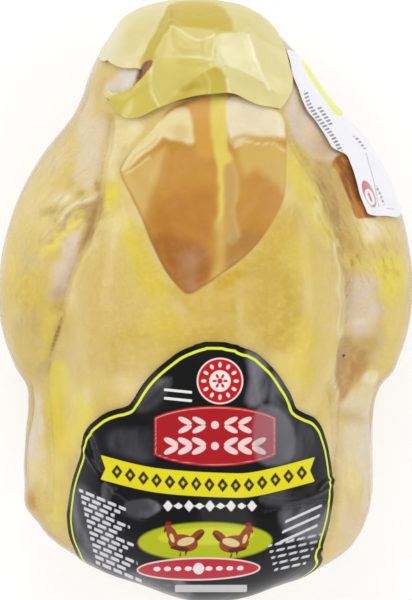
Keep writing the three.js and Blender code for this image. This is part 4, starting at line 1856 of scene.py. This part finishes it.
    def _print(self, points: Array) -> dict[Ink, Array]:
        """Gives the signed distance from each printed shape's edge, in dots, less than 0 inside it."""
        u, v = VIEW.project(points)
        front = points[:, 2] > self.lowest_print
        from_edge = self._edge(points)
        shapes: dict[Ink, Array] = {Ink.LINE: np.abs(from_edge - 6.6) - 1.35}
        plaque = np.maximum(ellipse_side(u, v, self.plaque, (78, 30.2)), np.abs(u - self.plaque[0]) - 61)
        shapes[Ink.PLAQUE_RIM] = np.abs(plaque + 1.8) - 0.6
        shapes[Ink.PLAQUE] = plaque
        shapes[Ink.PLAQUE_MARK] = self._garland(u, v)
        badge = ellipse_side(u, v, self.badge, (23.3, 23.3))
        shapes[Ink.BADGE_RIM] = badge
        shapes[Ink.BADGE] = badge + 1.6
        for ink, core, count, reach, half in (
            (Ink.BADGE_RING, 10.7, 12, 16.2, (2.7, 1.7)),
            (Ink.BADGE_HEART, 2.6, 6, 5.4, (2.4, 1.3)),
        ):
            seeds = ellipse_side(u, v, self.badge, (core, core))
            for k in range(count):
                turn = math.tau * k / count
                place = (self.badge[0] + reach * math.cos(turn), self.badge[1] + reach * math.sin(turn))
                seeds = np.minimum(seeds, ellipse_side(u, v, place, half, math.degrees(turn)))
            shapes[ink] = seeds
        curve = rounded(self.ribbon)
        middle = np.interp(u, [x for x, _ in curve], [y for _, y in curve])
        off = np.abs(v - middle)
        shapes[Ink.RIBBON] = np.maximum(off - 12.2, np.maximum(105.5 - off * 0.4 - u, u - 310 - off * 0.4))
        marks = np.full(len(points), FAR)
        for k in range(15):
            x = 117 + 13.2 * k
            y = float(np.interp(x, [a for a, _ in curve], [b for _, b in curve]))
            marks = np.minimum(marks, (np.abs(u - x) / 5.6 + np.abs(v - y) / 7.4 - 1) * 4.4)
            marks = np.maximum(marks, 0.9 - (np.abs(u - x) / 2.0 + np.abs(v - y) / 2.6) * 0.9)
        shapes[Ink.RIBBON_MARK] = marks
        rule = np.full(len(points), FAR)
        for k in range(9):
            x = 168 + 10.5 * k
            height = 6.0 if k % 2 == 0 else 3.4
            rule = np.minimum(rule, (np.abs(u - x) / 5.0 + np.abs(v - 506) / height - 1) * 3.0)
        for y in (391.0, 399.5):
            rule = np.minimum(rule, np.maximum(np.abs(v - y - 0.1 * (u - 178)) - 1.3, np.abs(u - 178) - 14))
        shapes[Ink.RULE] = rule
        shapes[Ink.MEADOW] = ellipse_side(u, v, self.meadow, (67, 19), -1)
        shapes[Ink.MEADOW_LIGHT] = ellipse_side(u, v, (206, 536), (48, 9), -2)
        shapes.update(self._hens(u, v))
        band = ellipse_side(u, v, (198.6, 569), (62, 11.6), -1)
        shapes[Ink.BAND_RIM] = band
        shapes[Ink.BAND] = band + 1.6
        petals = np.full(len(points), FAR)
        for k in range(9):
            half = (5.4, 5.8) if k == 4 else (3.6, 2.3)
            petals = np.minimum(petals, ellipse_side(u, v, (157 + 10.4 * k, 569 - 0.1 * k), half, 0))
        shapes[Ink.BAND_MARK] = petals
        shapes[Ink.FOOT_STRIP] = np.maximum(np.abs(v - 588.5) - 3.6, np.abs(u - 211) - 36)
        shapes[Ink.SMALL_PRINT] = self._small_print(u, v)
        for ink in shapes:
            if ink is not Ink.LINE:
                shapes[ink] = np.where(front, shapes[ink], FAR)
        return shapes

    def _garland(self, u: Array, v: Array) -> Array:
        """Gives two rows of plain leaves on the plaque, as signed distances in dots."""
        leaves = np.full(len(u), FAR)
        middle = self.plaque[0]
        for y, count, half in ((425.0, 4, (7.4, 2.7)), (446.0, 6, (7.8, 3.0))):
            leaves = np.minimum(leaves, ellipse_side(u, v, (middle, y), (4.0, 4.0)))
            for k in range(count):
                x = 13.0 + 14.0 * (k // 2) + 3.0
                lean = 26.0 if k % 2 == 0 else -26.0
                shift = -4.2 if k % 2 == 0 else 4.2
                leaves = np.minimum(leaves, ellipse_side(u, v, (middle + x, y + shift), half, -lean))
                leaves = np.minimum(leaves, ellipse_side(u, v, (middle - x, y + shift), half, lean))
        return leaves

    @staticmethod
    def _hens(u: Array, v: Array) -> dict[Ink, Array]:
        """Gives two plain standing hens on the meadow, as signed distances in dots."""
        parts = (
            (Ink.FEATHER, 0, 0, (15, 8.6), -8),
            (Ink.FEATHER, 11, -8, (5.0, 9.0), 22),
            (Ink.FEATHER, 15, -15.5, (3.8, 3.4), 0),
            (Ink.FEATHER, -14, -7, (9, 4.4), 42),
            (Ink.FEATHER_DARK, 3, 5.5, (10, 2.2), -8),
            (Ink.FEATHER_DARK, -16.5, -6.5, (7, 1.6), 42),
            (Ink.FEATHER_DARK, -3, 10.5, (0.9, 3.6), 0),
            (Ink.FEATHER_DARK, 3, 10.5, (0.9, 3.6), 0),
            (Ink.FEATHER_PALE, -3, -1.5, (9, 4.0), 14),
            (Ink.FEATHER_PALE, 11, -5, (2.0, 5.0), 20),
            (Ink.COMB, 14.5, -19.5, (3.4, 2.0), 0),
            (Ink.COMB, 18, -12.5, (1.4, 2.4), 0),
        )
        shapes: dict[Ink, Array] = {}
        for x, y, facing in ((183, 543, -1.0), (234, 544, 1.0)):
            for ink, dx, dy, half, turn in parts:
                part = ellipse_side(u, v, (x + dx * facing, y + dy), half, turn * facing)
                shapes[ink] = np.minimum(shapes.get(ink, FAR), part)
        return shapes

    @staticmethod
    def _small_print(u: Array, v: Array) -> Array:
        """Gives thin broken bars where the small print stands, as signed distances in dots."""
        rows = [
            (490 + 6.0 * k, 79 + 1.4 * k, 126 + 1.3 * k - 7 * (k % 3), 0.42, 1.6, 5 * (k % 2))
            for k in range(13)
        ]
        rows += [(546 + 6.0 * k, 268 + 1.5 * k, 322 - 4 * k, -0.22, 1.2, 0) for k in range(5)]
        bars = np.full(len(u), FAR)
        for row, left, right, slope, half, shift in rows:
            off = np.abs(v - row - slope * (u - left)) - half
            holes = 1.2 - np.abs((u - left - shift) % 11 - 5.5)
            bars = np.minimum(bars, np.maximum.reduce([off, left - u, u - right, holes]))
        for k in range(3):
            off = np.abs(v - 522 - 9.0 * k + 0.45 * (u - 285)) - 1.4
            bars = np.minimum(bars, np.maximum.reduce([off, 285 - 3 * k - u, u - 322 + 2 * k]))
        return bars


@dataclass(frozen=True)
class LabelFinish:
    """Black printed label, glossy, with a painted grey sheen of the film's reflection in places."""

    black: Colour = linear(8, 8, 9)

    def make(self) -> bpy.types.Material:
        """Returns the material."""
        bench = MaterialBench("front_label")
        # Painted sheen of the film, broken into streaks
        cloud = bench.remap(bench.streaks(70.0, 2.2, 74.0), (0.36, 0.62, 0.25, 1.0))
        tone = bench.mix(cloud, self.black, bench.stored("sheen_tone", "Color"))
        for ink in Ink:
            softness = 1.8 if ink in (Ink.MEADOW, Ink.MEADOW_LIGHT) else 0.45
            tone = bench.mix(bench.mask(ink.name.lower(), softness), tone, ink.value)
        # Painted veil of the film's sheen
        tone = bench.mix(bench.stored("sheen_veil"), tone, FrontLabel.sheen_veil.colour)
        bench.feed("Base Color", tone)
        rough = bench.remap(bench.noise(60.0), (0.3, 0.7, 0.16, 0.3))
        bench.feed("Roughness", rough)
        bench.settings(Specular_IOR_Level=0.16, Coat_Weight=0.05, Coat_Roughness=0.06)
        bench.bump(bench.noise(70.0, 2.0, 0.4), 0.0009, 0.35)
        return bench.material


class StickerInk(Enum):
    """The sticker's printed colours."""

    STRIPE = linear(230, 236, 70)
    BARS = linear(132, 130, 138)
    MARK = linear(206, 120, 124)


@dataclass
class WeightSticker:
    """The white paper sticker on the right thigh."""

    sheet: DrapedSheet = DrapedSheet(
        name="sticker_sheet",
        centre=(24, 64, 42),
        across=(0.534, 0.313, -0.785),
        along=(-0.476, 0.879, 0.027),
        out=(0.699, 0.359, 0.619),
        stations=tuple(Station(*row) for row in (
            (-52, -14, 46), (-47, -14.8, 50), (-41.7, -14, 50), (-34.3, -12, 50),
            (-29.4, -10.8, 50), (-27.2, -13, 50), (-25, -16.4, 50), (-17.5, -16.6, 50),
            (-7, -17.5, 50), (1.3, -22, 50), (7.9, -23, 50), (14.9, -21.4, 50),
            (19.8, -20.6, 49), (24.1, -19.6, 47), (29.8, -15.4, 45), (35.7, -9.6, 42),
            (38.5, -5, 38),
        )),
        columns=110,
        rows=190,
        foot=((-16, -48), (-12.5, -49.6), (-4, -50.9), (6, -53.4), (20, -54.5), (52, -54.5)),
    )
    stripe: Line = (
        (302, 62), (311, 80), (324, 99), (335.6, 114.5), (343, 114), (334, 96), (318, 76), (306, 58),
    )
    rows_of_bars: tuple[tuple[Line, float, float], ...] = (
        (((305.5, 91), (309, 104), (318, 118), (331, 134), (341, 151)), 4.6, 4.0),
        (((319, 107), (325, 116), (331, 125)), 4.2, 4.0),
        (((354, 136), (359, 141), (365, 149)), 2.6, 4.4),
        (((376, 186), (380, 194), (384, 205)), 2.2, 4.6),
    )

    def build(self, film: BVHTree) -> Piece:
        """Lays the sticker and prints it."""
        obj = self.sheet.build(film, self._lift)
        points, _ = read_mesh(obj)
        u, v = VIEW.project(points)
        stripe = side_of_outline(u, v, rounded(self.stripe, steps=4, closed=True))
        store(obj, StickerInk.STRIPE.name.lower(), stripe)
        bars = np.full(len(points), FAR)
        for path, height, spacing in self.rows_of_bars:
            away = distance_to_path(u, v, rounded(path)) - height / 2
            gaps = 0.9 - np.abs((v + 0.4 * u) % spacing - spacing / 2)
            ends = np.maximum(path[0][1] - v, v - path[-1][1])
            bars = np.minimum(bars, np.maximum(np.maximum(away, gaps), ends))
        bars = np.minimum(bars, distance_to_path(u, v, ((366, 153), (374, 182), (379, 207))) - 0.3)
        bars = np.minimum(bars, distance_to_path(u, v, ((386, 208.5), (396, 209.5))) - 0.4)
        store(obj, StickerInk.BARS.name.lower(), bars)
        mark = ellipse_side(u, v, (369, 194), (5.2, 14.5), -22)
        mark = np.maximum(mark, 1.4 - np.abs(ellipse_side(u, v, (370, 197), (2.4, 7), -22)))
        store(obj, StickerInk.MARK.name.lower(), mark)
        self.sheet.thicken(obj)
        obj.data.materials.append(StickerFinish().make())
        return obj

    def _lift(self, points: Array, side: Array, along: Array) -> Array:
        """Gives the sticker's height, in millimetres: its near edge stands off the skin in waves."""
        stations = self.sheet.stations
        left = np.interp(along, [s.along for s in stations], [s.left for s in stations])
        near = smooth(16, 0, side - left)
        waves = 0.5 + 0.5 * np.sin(along * math.tau / 23)
        return near * (0.2 + 0.7 * waves) + 0.1 * wave_noise(points, 12 * MM, 81)


@dataclass(frozen=True)
class StickerFinish:
    """White coated paper."""

    white: Colour = linear(238, 238, 242)

    def make(self) -> bpy.types.Material:
        """Returns the material."""
        bench = MaterialBench("sticker_paper")
        tone: object = self.white
        for ink in StickerInk:
            tone = bench.mix(bench.mask(ink.name.lower(), 0.5), tone, ink.value)
        bench.feed("Base Color", bench.mottled(tone, linear(222, 222, 228), 90.0, 0.3, 0.02))
        bench.settings(Roughness=0.42, Coat_Weight=0.3, Coat_Roughness=0.15)
        bench.bump(bench.noise(700.0, 2.0), 0.00006, 0.3)
        return bench.material


# The studio


@dataclass(frozen=True)
class Softbox:
    """One square lamp of the studio."""

    name: str
    place: Triple
    size: float
    power: float

    def light(self, aim: Vector) -> None:
        """Hangs the lamp and turns it to the object."""
        data = bpy.data.lights.new(self.name, "AREA")
        data.shape = "SQUARE"
        data.size = self.size
        data.energy = self.power
        lamp = bpy.data.objects.new(self.name, data)
        bpy.context.scene.collection.objects.link(lamp)
        lamp.location = self.place
        lamp.rotation_euler = (aim - Vector(self.place)).to_track_quat("-Z", "Y").to_euler()


@dataclass
class Studio:
    """A pale floor and soft white light."""

    floor_half: float = 3.0
    boxes: tuple[Softbox, ...] = (
        Softbox("left_box", (-1.3, 0.5, 1.1), 0.9, 5.6),
        Softbox("right_box", (1.4, 0.2, 1.0), 0.9, 4.6),
        Softbox("top_box", (-0.2, 1.3, 1.3), 0.9, 5.0),
        Softbox("low_box", (0.3, -1.3, 1.0), 0.9, 3.6),
    )
    world: float = 0.72

    def build(self) -> None:
        """Lays the floor and hangs the lamps."""
        bpy.ops.object.select_all(action="DESELECT")
        bpy.ops.mesh.primitive_plane_add(size=2 * self.floor_half, location=(0, 0, -0.0003))
        floor = bpy.context.object
        floor.name = "studio_floor"
        bench = MaterialBench("studio_floor")
        bench.settings(
            Base_Color=(0.42, 0.42, 0.44, 1.0), Emission_Color=(1.0, 1.0, 1.0, 1.0),
            Emission_Strength=0.6, Roughness=0.9,
        )
        floor.data.materials.append(bench.material)
        for box in self.boxes:
            box.light(Vector((0, 0, 0.05)))
        world = bpy.data.worlds.new("studio_light")
        bpy.context.scene.world = world
        world.use_nodes = True
        world.node_tree.nodes["Background"].inputs["Color"].default_value = (1.0, 1.0, 1.0, 1.0)
        world.node_tree.nodes["Background"].inputs["Strength"].default_value = self.world
        bpy.context.scene.view_settings.view_transform = "Standard"


def main() -> None:
    """Loads the frame, builds every piece and ties it to the frame."""
    logging.basicConfig(level=logging.INFO, format="%(message)s")
    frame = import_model()
    VIEW.place_camera()
    Studio().build()
    nodes = frame["nodes"]
    bird = Bird().build(nodes["chicken_in_film"])
    film = Film().build(nodes["chicken_in_film"], faces_of(bird))
    film_faces = faces_of(film)
    foil = GoldFoil().build(film_faces)
    label = FrontLabel().build(film_faces)
    sticker = WeightSticker().build(film_faces)
    stands_for = {
        bird: ("chicken_in_film", "skin_in_film"),
        film: ("chicken_in_film", "skin_in_film"),
        foil: ("gold_foil", "gold_foil"),
        label: ("front_label", "front_label"),
        sticker: ("weight_sticker", "weight_sticker"),
    }
    for piece, (node, slot) in stands_for.items():
        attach(piece, "root")
        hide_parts(node)
        LOG.info("%s: %d faces, in place of %s", piece.name, len(piece.data.polygons), node)


if __name__ == "__main__":
    main()
